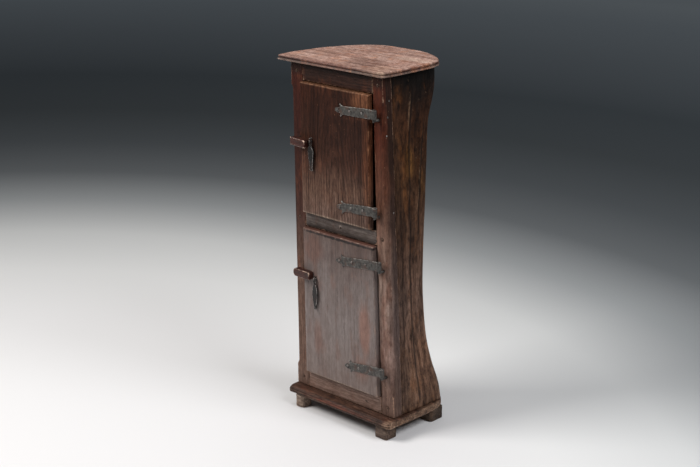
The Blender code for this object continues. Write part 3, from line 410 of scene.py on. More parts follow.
def agedWood(name, ownLooks):
    looks = dict(woodLooks, **ownLooks)
    material, tree, shader, place = newMaterial(name)
    if looks["flow"]:
        along = addNode(tree, "Attribute", attribute_name="flow").outputs["Vector"]
    else:
        along = addNode(tree, "Mapping", {"Vector": place, "Rotation": looks["turn"]}).outputs[0]

    # growth rings, cut by the board's face
    slow = addNode(tree, "Mapping", {"Vector": along, "Scale": (1, 1, 0.25)}).outputs[0]
    bend = addNode(tree, "TexNoise", {"Vector": slow, "Scale": looks["bendScale"], "Detail": 2.0}).outputs["Color"]
    bendBy = addNode(tree, "VectorMath", {0: vectorMath(tree, "SUBTRACT", bend, (0.5, 0.5, 0.5)),
                                          "Scale": looks["bend"]}, operation="SCALE").outputs[0]
    bent = vectorMath(tree, "ADD", along, bendBy)
    heart = vectorMath(tree, "SUBTRACT", bent, looks["heart"])
    leaned = addNode(tree, "Mapping", {"Vector": heart, "Rotation": looks["lean"]}).outputs[0]
    rings = addNode(tree, "TexWave", {"Vector": leaned, "Scale": looks["ringScale"],
                                      "Distortion": looks["ringNoise"], "Detail": 2.0, "Detail Scale": 1.2},
                    wave_type="RINGS", rings_direction="Z", wave_profile="SIN").outputs["Fac"]
    late = spread(tree, rings, looks["lateFrom"], looks["lateTo"])

    # fibres, pores and short drying cracks along the grain
    fibres = noiseOf(tree, bent, looks["fibreScale"], (1, 1, 0.03), 4, 0.65)
    bands = noiseOf(tree, bent, looks["bandScale"], (1, 1, 0.035), 4, 0.6)
    lineNoise = noiseOf(tree, bent, looks["lineScale"], (1, 1, looks["lineStretch"]), 2, 0.5, (7, 2, 4))
    lines = spread(tree, lineNoise, 0.53, 0.63)
    mottle = noiseOf(tree, bent, looks["mottleScale"], (1, 1, looks["mottleStretch"]), 5, 0.72, (2, 8, 5))
    pores = spread(tree, noiseOf(tree, bent, looks["poreScale"], (1, 1, 0.07), 2, 0.6), 0.60, 0.72)
    crackNoise = noiseOf(tree, bent, looks["crackScale"], (1, 1, 0.05), 3, 0.5, (3, 1, 2))
    crackLine = spread(tree, calculate(tree, "ABSOLUTE", calculate(tree, "SUBTRACT", crackNoise, 0.5)),
                       looks["crackWidth"], 0.0)
    crackWhere = spread(tree, noiseOf(tree, place, 7, (1, 1, 0.6), 2, shift=(5, 5, 5)), 0.52, 0.66)
    cracks = times(tree, crackLine, crackWhere)

    # base tone by height with ragged borders, then stains and patches of painted shade and light
    stir = noiseOf(tree, place, looks["stirScale"], (1, 1, 0.35), 4, 0.6)
    height = addNode(tree, "SeparateXYZ", {0: place}).outputs["Z"]
    level = calculate(tree, "ADD", calculate(tree, "DIVIDE", height, cupboardHeight),
                      ruffled(tree, stir, looks["stir"]))
    tone = colourRamp(tree, level, [(z / cupboardHeight, shade) for z, shade in looks["heights"]])
    warmth = noiseOf(tree, place, looks["warmScale"], (1, 1, 0.4), 4, 0.65, (6, 3, 8))
    tone = painted(tree, tone, spread(tree, warmth, 0.50, 0.68, 0.0, looks["warmShare"]), looks["warm"])
    blotch = noiseOf(tree, place, looks["blotchScale"], (1, 1, 0.5), 4, 0.6, (1, 2, 3))
    tone = painted(tree, tone, spread(tree, blotch, 0.46, 0.66, 0.0, looks["blotchShare"]), looks["blotch"])
    for patch in looks["patches"]:
        tone = painted(tree, tone, stainOrPaintedLightShare(tree, place, patch), patch["tint"])

    # pattern of the grain over it
    tone = blendColours(tree, times(tree, late, looks["ringShare"]), tone,
                        vectorMath(tree, "MULTIPLY", tone, looks["lateTint"]))
    streak = colourRamp(tree, fibres, ((0.30, looks["fibreDark"]), (0.52, (235, 232, 230)), (0.75, (255, 255, 255))))
    tone = blendColours(tree, looks["fibreShare"], tone, streak, "MULTIPLY")
    wide = colourRamp(tree, bands, ((0.30, looks["bandDark"]), (0.60, (255, 255, 255))))
    tone = blendColours(tree, looks["bandShare"], tone, wide, "MULTIPLY")
    tone = blendColours(tree, times(tree, lines, looks["lineShare"]), tone,
                        vectorMath(tree, "MULTIPLY", tone, looks["lineTint"]))
    spots = colourRamp(tree, mottle, ((0.34, looks["mottleDark"]), (0.52, (222, 218, 215)), (0.62, (255, 255, 255))))
    tone = blendColours(tree, looks["mottleShare"], tone, spots, "MULTIPLY")
    tone = painted(tree, tone, times(tree, pores, looks["poreShare"]), looks["dirtAndShade"])
    tone = painted(tree, tone, times(tree, cracks, looks["crackShare"]), looks["dirtAndShade"])

    # rubbed edges and small knocks show paler wood, hollows darken with grime and painted shade
    rub = noiseOf(tree, place, looks["rubScale"], (1, 1, 1), 4, 0.65)
    edge = calculate(tree, "ADD", storedShare(tree, "worn"), ruffled(tree, rub, looks["rubRagged"]))
    rubbed = spread(tree, edge, looks["rubFrom"], looks["rubTo"], 0.0, looks["rubShare"])
    tone = painted(tree, tone, rubbed, looks["rubbed"])
    nick = noiseOf(tree, place, looks["nickScale"], (1, 1, 0.6), 2, 0.5, (9, 4, 7))
    tone = painted(tree, tone, spread(tree, nick, 0.72, 0.77, 0.0, looks["nickShare"]), looks["rubbed"])
    tone = painted(tree, tone, times(tree, storedShare(tree, "hollow"), looks["hollowDirtAndShade"]), looks["dirtAndShade"])

    rough = spread(tree, calculate(tree, "ADD", times(tree, fibres, 0.6), times(tree, stir, 0.4)),
                   0.3, 0.7, looks["roughHigh"], looks["roughLow"], "LINEAR")
    rough = calculate(tree, "SUBTRACT", rough, times(tree, rubbed, looks["rubPolish"]), clamp=True)
    shader.inputs["Specular IOR Level"].default_value = looks["shine"]

    relief = times(tree, fibres, looks["fibreRelief"])
    for way, pattern, depth in (("ADD", bands, "bandRelief"), ("SUBTRACT", late, "ringRelief"),
                                ("SUBTRACT", lines, "lineRelief"), ("ADD", mottle, "mottleRelief"),
                                ("SUBTRACT", cracks, "crackRelief"), ("SUBTRACT", pores, "poreRelief")):
        relief = calculate(tree, way, relief, times(tree, pattern, looks[depth]))
    setFinish(tree, shader, tone, rough, relief, looks)
    return material


# Wrought iron: blackened, with brown rust in patches and small pale rubbed spots, which on the nails and pulls are
# also painted highlights

ironLooks = {
    "dark": (52, 50, 48), "mid": (90, 87, 83), "rust": (86, 62, 52), "brightWearAndGlint": (178, 174, 168),
    "rustShare": 0.75, "gritShare": 0.5, "rub": (0.36, 0.95), "rubRagged": 1.2, "rubShare": 0.7,
    "rough": (0.62, 0.40), "rubPolish": 0.12, "metallic": 0.35, "gritRelief": 0.25, "bump": 0.6, "bumpDepth": 0.0012,
}
# painted highlights: the pulls' pale rubbed edges and tip
pullIronLooks = dict(ironLooks, dark=(13, 12, 12), mid=(36, 32, 31), rust=(56, 36, 30), brightWearAndGlint=(214, 206, 200),
                     rub=(0.22, 0.75), rough=(0.44, 0.26))
# painted highlights: the nail heads are lighter overall and pale where they rise
nailIronLooks = dict(ironLooks, dark=(66, 62, 61), mid=(126, 120, 116), brightWearAndGlint=(206, 200, 194))


def wroughtIron(name, looks):
    material, tree, shader, place = newMaterial(name)
    hammer = noiseOf(tree, place, 140, detail=3)
    grit = noiseOf(tree, place, 900, detail=3, rough=0.7)
    rust = noiseOf(tree, place, 45, detail=4, rough=0.6, shift=(2, 2, 2))
    tone = colourRamp(tree, hammer, ((0.35, looks["dark"]), (0.65, looks["mid"])))
    tone = painted(tree, tone, spread(tree, rust, 0.50, 0.66, 0.0, looks["rustShare"]), looks["rust"])
    tone = painted(tree, tone, spread(tree, grit, 0.55, 0.75, 0.0, looks["gritShare"]), looks["dark"])
    edge = calculate(tree, "ADD", storedShare(tree, "worn"), ruffled(tree, hammer, looks["rubRagged"]))
    rubbed = spread(tree, edge, *looks["rub"], 0.0, looks["rubShare"])
    # pale rubbed metal, on nails and pulls also painted highlight
    tone = painted(tree, tone, rubbed, looks["brightWearAndGlint"])
    rough = spread(tree, grit, 0.35, 0.65, looks["rough"][1], looks["rough"][0], "LINEAR")
    rough = calculate(tree, "SUBTRACT", rough, times(tree, rubbed, looks["rubPolish"]), clamp=True)
    shader.inputs["Metallic"].default_value = looks["metallic"]
    relief = calculate(tree, "ADD", hammer, times(tree, grit, looks["gritRelief"]))
    setFinish(tree, shader, tone, rough, relief, looks)
    return material


iron = wroughtIron("wrought_iron", ironLooks)
pullIron = wroughtIron("pull_iron", pullIronLooks)
nailIron = wroughtIron("nail_iron", nailIronLooks)
print("tools for the finishes ready")


# Trunk: hewn outside, hollow inside, with its own dense skin

trunkForm = {
    "depth": 0.290, "wall": 0.024, "fluteDepth": 0.003, "fluteFade": 0.060, "fluteCount": 9, "fluteDrift": 1.6,
    "front": 0.0403,            # from the front of the frame
    "widthLow": 0.428, "widthHigh": 0.385, "boardTop": 0.065, "height": 1.069,
    "around": 250, "levels": 280, "insideAround": 90, "insideLevels": 60,
    "profile": ((0.0, 0.951), (0.03, 0.932), (0.065, 0.888), (0.114, 0.804), (0.178, 0.713), (0.24, 0.664),
                (0.335, 0.642), (0.43, 0.656), (0.55, 0.709), (0.67, 0.762), (0.79, 0.817), (0.845, 0.847),
                (0.874, 0.889), (0.903, 0.941), (0.935, 0.978), (1.0, 1.0)),
    "plan": ((1.0, 0.0), (1.006, 0.19), (1.010, 0.39), (1.009, 0.54), (1.004, 0.67), (0.988, 0.77), (0.955, 0.84),
             (0.894, 0.90), (0.813, 0.95), (0.709, 0.985), (0.58, 1.0), (0.436, 1.0), (0.332, 0.98), (0.254, 0.93),
             (0.19, 0.845), (0.13, 0.73), (0.08, 0.60), (0.044, 0.457), (0.016, 0.30), (0.0, 0.147), (0.0, 0.0)),
    "adze": 0.0010, "adzeSize": (0.035, 1, 0.09), "adzeFineSize": (0.014, 1, 0.16),
    "fibre": 0.00055, "fibreSize": (0.0042, 1, 0.11), "fibreFineSize": (0.011, 1, 0.035),
    "frontFade": 0.02, "endFade": 0.01, "hollowDepth": 0.0018, "ridgeHeight": 0.0022,
    "insideWobble": 0.0012, "insideWobbleSize": 0.05,
    "seamMiddle": 0.6, "seamWander": 0.003, "seamWanderSize": (9, 1, 0.06), "seamEnd": 0.05, "seamLip": 0.5,
    "seams": (       # place round the trunk, drift with height, width, depth, from and to a height, seed
        (0.084, 0.04, 0.0030, 0.0021, 0.62, 1.00, 36),
        (0.395, -0.01, 0.0022, 0.0026, 0.30, 1.13, 31),
        (0.055, 0.0, 0.0030, 0.0012, 0.07, 1.13, 32),
        (0.175, 0.03, 0.0035, 0.0012, 0.07, 0.62, 33),
        (0.560, 0.02, 0.0022, 0.0024, 0.20, 1.00, 34),
        (0.700, -0.02, 0.0026, 0.0020, 0.07, 0.80, 35),
    ),
}


def curveThrough(pairs, at):       # smooth curve through (place, value) pairs
    last = len(pairs) - 1
    slopes = [(pairs[min(i + 1, last)][1] - pairs[max(i - 1, 0)][1])
              / (pairs[min(i + 1, last)][0] - pairs[max(i - 1, 0)][0]) for i in range(last + 1)]
    i = 0
    while i < last - 1 and at > pairs[i + 1][0]:
        i += 1
    run = pairs[i + 1][0] - pairs[i][0]
    t = (at - pairs[i][0]) / run
    return ((2 * t**3 - 3 * t**2 + 1) * pairs[i][1] + (t**3 - 2 * t**2 + t) * run * slopes[i]
            + (3 * t**2 - 2 * t**3) * pairs[i + 1][1] + (t**3 - t**2) * run * slopes[i + 1])


def planCurve(plan, steps):        # shares across and back, from the right front round to the left
    last = len(plan) - 1
    across = [(i / last, row[0]) for i, row in enumerate(plan)]
    back = [(i / last, row[1]) for i, row in enumerate(plan)]
    return np.array([(curveThrough(across, i / steps), curveThrough(back, i / steps)) for i in range(steps + 1)])


def trunkSkin(form, steps, levels, inset, fluted):
    plan = planCurve(form["plan"], steps)
    at = np.linspace(0, 1, steps + 1)
    rows = []
    for z in np.linspace(bodyLow, bodyHigh, levels):
        share = (z - form["boardTop"]) / form["height"]
        rightX = leftX + between(form["widthLow"], form["widthHigh"], share)
        depth = frontY + form["depth"] * curveThrough(form["profile"], share) - inset
        front = frontY + form["front"]
        row = np.empty((steps + 1, 3))
        row[:, 0] = between(leftX + inset, rightX - inset, plan[:, 0])
        row[:, 1] = between(front, depth, plan[:, 1])
        row[:, 2] = z
        if fluted:
            slow = np.cos(form["fluteCount"] * math.pi * at + form["fluteDrift"] * share)
            fast = np.cos((2 * form["fluteCount"] - 1) * math.pi * at - 2 * form["fluteDrift"] * share + 1)
            fade = np.clip((row[:, 1] - front) / form["fluteFade"], 0, 1)
            sunk = -(2 * slow + fast) / 3 * form["fluteDepth"] * fade
            inward = np.column_stack((between(leftX, rightX, 0.5) - row[:, 0],
                                      frontY + (depth - frontY) / 3 - row[:, 1]))
            inward /= np.linalg.norm(inward, axis=1)[:, None]
            row[:, :2] += inward * sunk[:, None]
            row[:, 1] = np.maximum(row[:, 1], front)
        rows.append(row)
    return np.array(rows)


def stitched(first, second):       # triangles between two rows of points, whatever their counts
    faces, i, j = [], 0, 0
    while i < len(first) - 1 or j < len(second) - 1:
        if j == len(second) - 1 or (i < len(first) - 1 and (i + 1) / (len(first) - 1) <= (j + 1) / (len(second) - 1)):
            faces.append((int(first[i]), int(first[i + 1]), int(second[j])))
            i += 1
        else:
            faces.append((int(first[i]), int(second[j + 1]), int(second[j])))
            j += 1
    return faces


def facedOut(mesh):
    made = bmesh.new()
    made.from_mesh(mesh)
    bmesh.ops.recalc_face_normals(made, faces=made.faces[:])
    made.to_mesh(mesh)
    made.free()


def cutSeams(form, points, flow, marks):      # adds the drying seams to marks, and says where they are
    seams = np.zeros(len(points))
    for around, drift, width, depth, low, high, seed in form["seams"]:
        wander = form["seamWander"] * softNoise(flow, form["seamWanderSize"], seed)
        off = (flow[:, 0] - (around + drift * (points[:, 2] - form["seamMiddle"]) + wander)) / width
        inRange = (np.clip((points[:, 2] - low) / form["seamEnd"], 0, 1)
                   * np.clip((high - points[:, 2]) / form["seamEnd"], 0, 1))
        cut = np.exp(-off ** 2) * inRange
        marks -= depth * cut
        marks += depth * form["seamLip"] * np.exp(-((off + 1.9) / 0.9) ** 2) * inRange
        seams = np.maximum(seams, cut)
    return seams


def gridFaces(rows, count, start, inward):
    faces = []
    for row in range(rows - 1):
        for i in range(count - 1):
            a = start + row * count + i
            corners = (a, a + count, a + count + 1, a + 1)
            faces.append((corners[0], corners[3], corners[2], corners[1]) if inward else corners)
    return faces


def makeTrunk(form, material):
    outer = trunkSkin(form, form["around"], form["levels"], 0, True)
    inner = trunkSkin(form, form["insideAround"], form["insideLevels"], form["wall"], False)
    rows, count = outer.shape[:2]
    away = np.cross(np.gradient(outer, axis=1).reshape(-1, 3), np.gradient(outer, axis=0).reshape(-1, 3))
    away /= np.linalg.norm(away, axis=1)[:, None]
    if away[count // 2, 1] < 0:
        away = -away
    points = outer.reshape(-1, 3)
    total = len(points)
    length = np.concatenate(([0], np.cumsum(np.linalg.norm(np.diff(outer[rows // 2], axis=0), axis=1))))
    flow = np.column_stack((np.tile(length, rows), np.zeros(total), points[:, 2]))
    fade = np.clip((points[:, 1] - frontY - form["front"]) / form["frontFade"], 0, 1)
    ends = np.clip(np.minimum(points[:, 2] - bodyLow, bodyHigh - points[:, 2]) / form["endFade"], 0, 1)
    marks = (form["adze"] * softNoise(flow, form["adzeSize"], 3)
             + form["adze"] * 0.6 * softNoise(flow, form["adzeFineSize"], 5))
    marks += form["fibre"] * softNoise(flow, form["fibreSize"], 7)
    marks += form["fibre"] * 0.7 * softNoise(flow, form["fibreFineSize"], 8)
    seams = cutSeams(form, points, flow, marks)
    relief = marks * fade * ends
    points = points + away * relief[:, None]
    inside = inner.reshape(-1, 3)
    wobble = [softNoise(inside, (form["insideWobbleSize"],) * 3, seed) for seed in (21, 22)]
    inside = inside + np.column_stack((*wobble, np.zeros(len(inside)))) * form["insideWobble"]
    faces = gridFaces(rows, count, 0, False) + gridFaces(*inner.shape[:2], total, True)
    outerIds = np.arange(total).reshape(rows, count)
    innerIds = total + np.arange(len(inside)).reshape(inner.shape[:2])
    for border in (lambda ids: ids[0], lambda ids: ids[-1], lambda ids: ids[:, 0], lambda ids: ids[:, -1]):
        faces += stitched(border(outerIds), border(innerIds))
    mesh = bpy.data.meshes.new("hewn_trunk")
    mesh.from_pydata(np.vstack((points, inside)).tolist(), [], faces)
    facedOut(mesh)
    flows = pointsOf(mesh)
    flows[:total] = flow
    mesh.attributes.new("flow", "FLOAT_VECTOR", "POINT").data.foreach_set(
        "vector", np.ascontiguousarray(flows, np.float32).ravel())
    nothing = np.zeros(len(inside))
    sunk = np.clip(-np.append(relief, nothing) / form["hollowDepth"], 0, 0.6)
    storeShare(mesh, "hollow", np.clip(np.append(seams, nothing) - 0.15 + sunk, 0, 1))
    storeShare(mesh, "worn", np.append(np.clip(relief / form["ridgeHeight"], 0, 1), nothing))
    return addPiece("hewn_trunk", mesh, material, bodyOf["trunk_shell"], "trunk_wood", "trunk_shell")
trunkLooks = {
    "flow": True, "heart": (0.1, 0.4, 0), "ringScale": 22, "ringNoise": 5.0, "ringShare": 0.18, "bend": 0.03,
    # darker towards the top; the stops from 1.06 up are painted shade under the top board
    "heights": ((0.07, (140, 110, 90)), (0.20, (154, 120, 99)), (0.40, (152, 123, 108)), (0.60, (126, 97, 80)),
                (0.80, (104, 73, 50)), (0.98, (84, 53, 34)), (1.06, (46, 31, 23)), (1.12, (26, 19, 16))),
    "bandShare": 0.75, "bandDark": (128, 112, 104), "stir": 0.16, "lineShare": 0.45,
    "mottleShare": 0.9, "mottleDark": (92, 80, 74), "mottleScale": 95, "warm": (140, 88, 44), "warmShare": 0.5,
    "blotch": (58, 41, 35), "blotchShare": 0.45, "dirtAndShade": (22, 16, 14), "rubbed": (150, 120, 94), "rubShare": 0.45,
    "rubFrom": 0.55, "rubTo": 1.2, "bump": 0.7, "shine": 0.15,
    "patches": (
        stainOrPaintedLight((0.20, -0.085, 0.76), (0.05, 0.018, 0.36), (44, 34, 30), 0.35, 1.1),
        stainOrPaintedLight((0.21, -0.078, 0.42), (0.05, 0.026, 0.12), (82, 68, 64), 0.45, 1.2),
        stainOrPaintedLight((0.21, -0.085, 0.17), (0.05, 0.034, 0.17), (84, 64, 54), 0.65, 1.2),
        stainOrPaintedLight((0.20, -0.030, 0.86), (0.05, 0.022, 0.06), (130, 90, 42), 0.55, 1.2),
        stainOrPaintedLight((0.20, 0.020, 0.79), (0.05, 0.018, 0.05), (126, 90, 48), 0.5, 1.2),
        # painted light: a pale patch on the lower flare of the right side, where it faces up
        stainOrPaintedLight((0.20, 0.0, 0.22), (0.06, 0.05, 0.13), (176, 136, 112), 0.5, 1.4),
        # painted shade: a dark band under the top board
        stainOrPaintedLight((0.10, 0.02, 1.125), (0.5, 0.4, 0.045), (20, 15, 13), 0.85, 0.5),
        stainOrPaintedLight((-0.20, 0.0, 0.60), (0.05, 0.04, 0.24), (36, 28, 25), 0.6, 1.2),
        stainOrPaintedLight((0.0, 0.15, 0.80), (0.06, 0.06, 0.20), (40, 30, 26), 0.55, 1.3),
    ),
}
trunkWood = agedWood("hewn_trunk_wood", trunkLooks)
makeTrunk(trunkForm, trunkWood)
print("trunk made")


# Top and base boards, from rings of points round their outlines

topForm = {
    "left": 0.035, "right": 0.407, "front": 0.023, "depth": 0.334, "rounding": 0.004, "around": 460,
    "low": 1.134, "thick": 0.016, "relief": 0.0055, "reliefFront": 0.0055,
    "edge": ((0.0, 0.30), (0.06, 0.10), (0.14, 0.0), (0.28, 0.0), (0.33, 0.35), (0.38, 0.78), (0.44, 0.74),
             (0.52, 0.50), (0.62, 0.28), (0.74, 0.24), (0.85, 0.32), (0.93, 0.58), (0.98, 0.90), (1.0, 1.25)),
    "plan": ((1.0, 0.0), (1.016, 0.13), (1.022, 0.30), (1.024, 0.45), (1.021, 0.60), (1.009, 0.69), (0.992, 0.755),
             (0.950, 0.817), (0.903, 0.87), (0.831, 0.924), (0.768, 0.96), (0.69, 0.99), (0.592, 1.0), (0.45, 1.0),
             (0.36, 0.992), (0.30, 0.968), (0.25, 0.925), (0.19, 0.855), (0.14, 0.765), (0.10, 0.675), (0.064, 0.57),
             (0.034, 0.455), (0.018, 0.33), (-0.004, 0.17), (0.0, 0.0)),
    "wobble": 0.0005, "wobbleSize": 0.05, "nibble": 0.0012, "nibbleSize": 0.011, "rings": 44, "rub": 0.22,
}
baseForm = {
    "left": 0.003, "right": 0.441, "front": 0.042, "depth": 0.32279, "rounding": 0.009, "around": 460,
    "low": 0.042, "thick": 0.023, "relief": 0.0025, "reliefFront": 0.011,
    "edge": ((0.0, 0.75), (0.06, 0.50), (0.15, 0.18), (0.25, 0.02), (0.32, 0.01), (0.35, 0.12), (0.39, 0.13),
             (0.42, 0.02), (0.54, 0.04), (0.62, 0.12), (0.65, 0.25), (0.69, 0.27), (0.72, 0.22), (0.78, 0.34),
             (0.88, 0.54), (0.95, 0.76), (0.99, 0.95), (1.0, 1.20)),
    "plan": trunkForm["plan"], "wobble": 0.0007, "wobbleSize": 0.05, "nibble": 0.0022, "nibbleSize": 0.012,
    "rings": 34, "rub": 0.34,
}


boardMesh = {
    "planSteps": 240, "cornerSteps": 8, "innermost": 0.02, "outermost": 0.985,
    "crowding": 0.8,      # rings over the flat faces, as shares of the way out
    "sink": 0.0002, "grain": 0.00015, "grainSize": (0.12, 0.006, 1),
    "edgeReach": 10, "edgeScale": 0.0012, "hollowScale": 1.6,
}


def boardOutline(form, relief):
    side, front, radius = relief * form["relief"], relief * form["reliefFront"], form["rounding"]
    low = (leftX - form["left"] + side, frontY - form["front"] + front)
    high = (leftX + form["right"] - side, frontY - form["front"] + form["depth"] - side)
    plan = planCurve(form["plan"], boardMesh["planSteps"])[1:-1]
    points = [(between(low[0], high[0], a), between(low[1], high[1], b)) for a, b in plan]
    for middle, turn in ((low[0] + radius, math.pi), (high[0] - radius, 1.5 * math.pi)):
        for step in range(boardMesh["cornerSteps"] + 1):
            angle = turn + math.pi / 2 * step / boardMesh["cornerSteps"]
            points.append((middle + radius * math.cos(angle), low[1] + radius + radius * math.sin(angle)))
    points.append(points[0])
    points = np.array(points)
    run = np.concatenate(([0], np.cumsum(np.linalg.norm(np.diff(points, axis=0), axis=1))))
    even = np.linspace(0, run[-1], form["around"], endpoint=False)
    return np.column_stack((np.interp(even, run, points[:, 0]), np.interp(even, run, points[:, 1])))


def faceRings(form, relief, middle, z):      # rings of one flat face, from its middle out
    outline = boardOutline(form, relief)
    shares = np.linspace(boardMesh["innermost"], boardMesh["outermost"], form["rings"])
    return [(middle + (outline - middle) * share ** boardMesh["crowding"], z, 0.0) for share in shares]


def makeBoard(name, node, form, material, slot, seed):
    low, high, nibble = form["low"], form["low"] + form["thick"], form["nibbleSize"]
    middle = boardOutline(form, 0).mean(axis=0)
    rings = faceRings(form, form["edge"][0][1], middle, low)
    rings += [(boardOutline(form, relief), low + height * form["thick"], 1.0) for height, relief in form["edge"]]
    rings += faceRings(form, form["edge"][-1][1], middle, high)[::-1]
    points = np.array([np.column_stack((ring, np.full(len(ring), z))) for ring, z, edge in rings]).reshape(-1, 3)
    edge = np.repeat([edge for ring, z, edge in rings], form["around"])
    outward = points[:, :2] - middle
    outward /= np.linalg.norm(outward, axis=1)[:, None]
    bites = form["nibble"] * np.clip(softNoise(points, (nibble, nibble, nibble * 0.7), seed)
                                     + 0.6 * softNoise(points, nibble * 3, seed + 1) - 0.1, 0, 1)
    dip = form["wobble"] * softNoise(points, form["wobbleSize"], seed + 2)
    points[:, :2] -= outward * ((bites + np.abs(dip)) * edge)[:, None]
    level = np.where(edge > 0, 0, 1) * np.where(points[:, 2] > low + form["thick"] / 2, -1, 0)
    grain = softNoise(points, boardMesh["grainSize"], seed + 3) * boardMesh["grain"]
    points[:, 2] += level * (np.abs(dip) + boardMesh["sink"] + grain)
    count, rows = form["around"], len(rings)
    faces = [tuple(reversed(range(count)))]
    for row in range(rows - 1):
        for i in range(count):
            j = (i + 1) % count
            faces.append((row * count + i, row * count + j, (row + 1) * count + j, (row + 1) * count + i))
    faces.append(tuple(range((rows - 1) * count, rows * count)))
    mesh = bpy.data.meshes.new(name)
    mesh.from_pydata(points.tolist(), [], faces)
    facedOut(mesh)
    smooth = relaxed(points, edgesOf(mesh), boardMesh["edgeReach"])
    bulge = ((points - smooth) * normalsOf(mesh)).sum(1) / boardMesh["edgeScale"]
    storeShare(mesh, "worn", np.clip(bulge * form["rub"], 0, 1) * edge)
    storeShare(mesh, "hollow", np.clip(-bulge * boardMesh["hollowScale"], 0, 1) * edge)
    return addPiece(name, mesh, material, bodyOf[node], slot, node)


topLooks = {
    "turn": lyingGrain, "heart": (-1.40, 0.02, 0), "lean": (0.0, 0.03, 0), "ringScale": 30, "ringNoise": 5.0,
    "ringShare": 0.35, "bend": 0.03, "lateTint": (0.60, 0.47, 0.42),
    # the dark stop at 1.140 is painted shade in the cove of the moulding
    "heights": ((1.10, (120, 92, 82)), (1.134, (152, 132, 123)), (1.1385, (158, 138, 128)), (1.140, (58, 36, 30)),
                (1.144, (92, 54, 43)), (1.148, (104, 64, 52)), (1.1494, (206, 169, 154)), (1.15, (217, 182, 168))),
    "stir": 0.0, "fibreShare": 0.4, "bandDark": (128, 100, 90), "lineShare": 0.3, "mottleShare": 0.75,
    "mottleDark": (130, 104, 94), "mottleStretch": 0.6, "warm": (214, 150, 112), "warmShare": 0.6,
    "blotch": (168, 116, 98), "blotchShare": 0.45, "blotchScale": 9, "dirtAndShade": (64, 42, 35), "rubbed": (230, 198, 176),
    "rubShare": 0.6, "bump": 0.35, "roughHigh": 0.62, "roughLow": 0.42, "shine": 0.35, "nickShare": 0.4,
    "patches": (
        stainOrPaintedLight((0.05, -0.07, 1.15), (0.09, 0.06, 0.05), (138, 104, 92), 0.6, 1.3, stretch=(0.3, 1, 1)),
        stainOrPaintedLight((0.16, -0.12, 1.15), (0.05, 0.05, 0.05), (232, 196, 174), 0.55, 1.3),
        stainOrPaintedLight((0.15, 0.05, 1.15), (0.08, 0.025, 0.05), (236, 208, 190), 0.6, 1.4),
        stainOrPaintedLight((-0.17, -0.03, 1.15), (0.07, 0.03, 0.05), (206, 168, 150), 0.5, 1.3),
        stainOrPaintedLight((0.0, -0.158, 1.150), (0.26, 0.006, 0.006), (96, 52, 40), 0.6, 0.9),
        stainOrPaintedLight((0.196, -0.155, 1.148), (0.02, 0.012, 0.01), (222, 190, 166), 0.7, 0.9),
    ),
}
baseLooks = {
    "turn": lyingGrain, "heart": (-0.1, 0.10, 0), "lean": (0.0, 0.02, 0), "ringScale": 36, "ringNoise": 4.0,
    "ringShare": 0.35,
    "heights": ((0.0, (104, 84, 72)), (0.05, (122, 97, 82)), (0.060, (120, 92, 78)), (0.066, (126, 92, 76))),
    "stir": 0.0, "bandShare": 0.8, "bandDark": (120, 92, 80), "mottleShare": 0.8, "mottleDark": (96, 80, 70),
    "warm": (130, 70, 48), "warmShare": 0.45, "blotch": (70, 48, 40), "blotchShare": 0.55,
    "blotchScale": 10, "dirtAndShade": (30, 22, 19), "rubbed": (164, 134, 108), "rubShare": 0.7, "rubScale": 80,
    "rubFrom": 0.45, "rubTo": 1.05, "bump": 0.8, "shine": 0.25,
    "patches": (
        stainOrPaintedLight((0.24, 0.02, 0.05), (0.03, 0.22, 0.016), (182, 150, 124), 0.85, 1.1),
        stainOrPaintedLight((0.236, -0.172, 0.055), (0.026, 0.026, 0.02), (206, 172, 146), 0.9, 0.9),
        stainOrPaintedLight((0.02, -0.178, 0.056), (0.14, 0.02, 0.006), (158, 84, 64), 0.6, 1.4),
        stainOrPaintedLight((0.0, -0.178, 0.0575), (0.6, 0.03, 0.0011), (44, 28, 23), 0.7, 0.5),
        stainOrPaintedLight((0.0, -0.178, 0.0505), (0.6, 0.03, 0.0011), (44, 28, 23), 0.7, 0.5),
    ),
}
topWood = agedWood("top_board_wood", topLooks)
baseWood = agedWood("base_board_wood", baseLooks)
makeBoard("moulded_top", "top_board", topForm, topWood, "top_wood", 41)
makeBoard("worn_base", "base_board", baseForm, baseWood, "base_wood", 51)
print("boards made")


# Frame, doors and small wooden pieces, worn from their packed forms

frameForm = {
    "voxel": 0.0023, "rounding": 1,
    "outward": 0.001,                        # the most that the surface may stand out
    "edgeReach": 12, "edgeScale": 0.0016, "wobble": 0.0005, "wobbleSize": 0.06, "ripple": 0.00022,
    "grainSize": (0.005, 0.005, 0.10), "chip": 0.0016, "chipSize": 0.016, "chipBias": -0.15,
}
railForm = dict(frameForm, grainSize=(0.10, 0.005, 0.005))
doorForm = dict(frameForm, voxel=0.0020, outward=0.00009, edgeScale=0.0014, wobble=0.00045, wobbleSize=0.07,
                ripple=0.00020, grainSize=(0.006, 0.006, 0.12), chip=0.0014, chipSize=0.014)
smallForm = dict(frameForm, voxel=0.0010, outward=0.00009, rounding=2, edgeReach=14, edgeScale=0.0010, wobble=0.0003,
                 wobbleSize=0.02, ripple=0.00010, grainSize=(0.03, 0.003, 0.003), chip=0.0006, chipSize=0.008,
                 chipBias=0.0)
footForm = dict(smallForm, voxel=0.0015, outward=0.00025, rounding=4, edgeScale=0.0014, wobble=0.0009,
                wobbleSize=0.018, ripple=0.00030, grainSize=(0.03, 0.03, 0.0035), chip=0.0018, chipSize=0.010)
innerForm = dict(smallForm, voxel=0.0030, outward=0.001, rounding=1, edgeReach=8, edgeScale=0.0020, wobble=0.0005,
                 wobbleSize=0.05, ripple=0.0003, grainSize=(0.10, 0.006, 0.006), chip=0.0010, chipSize=0.02)
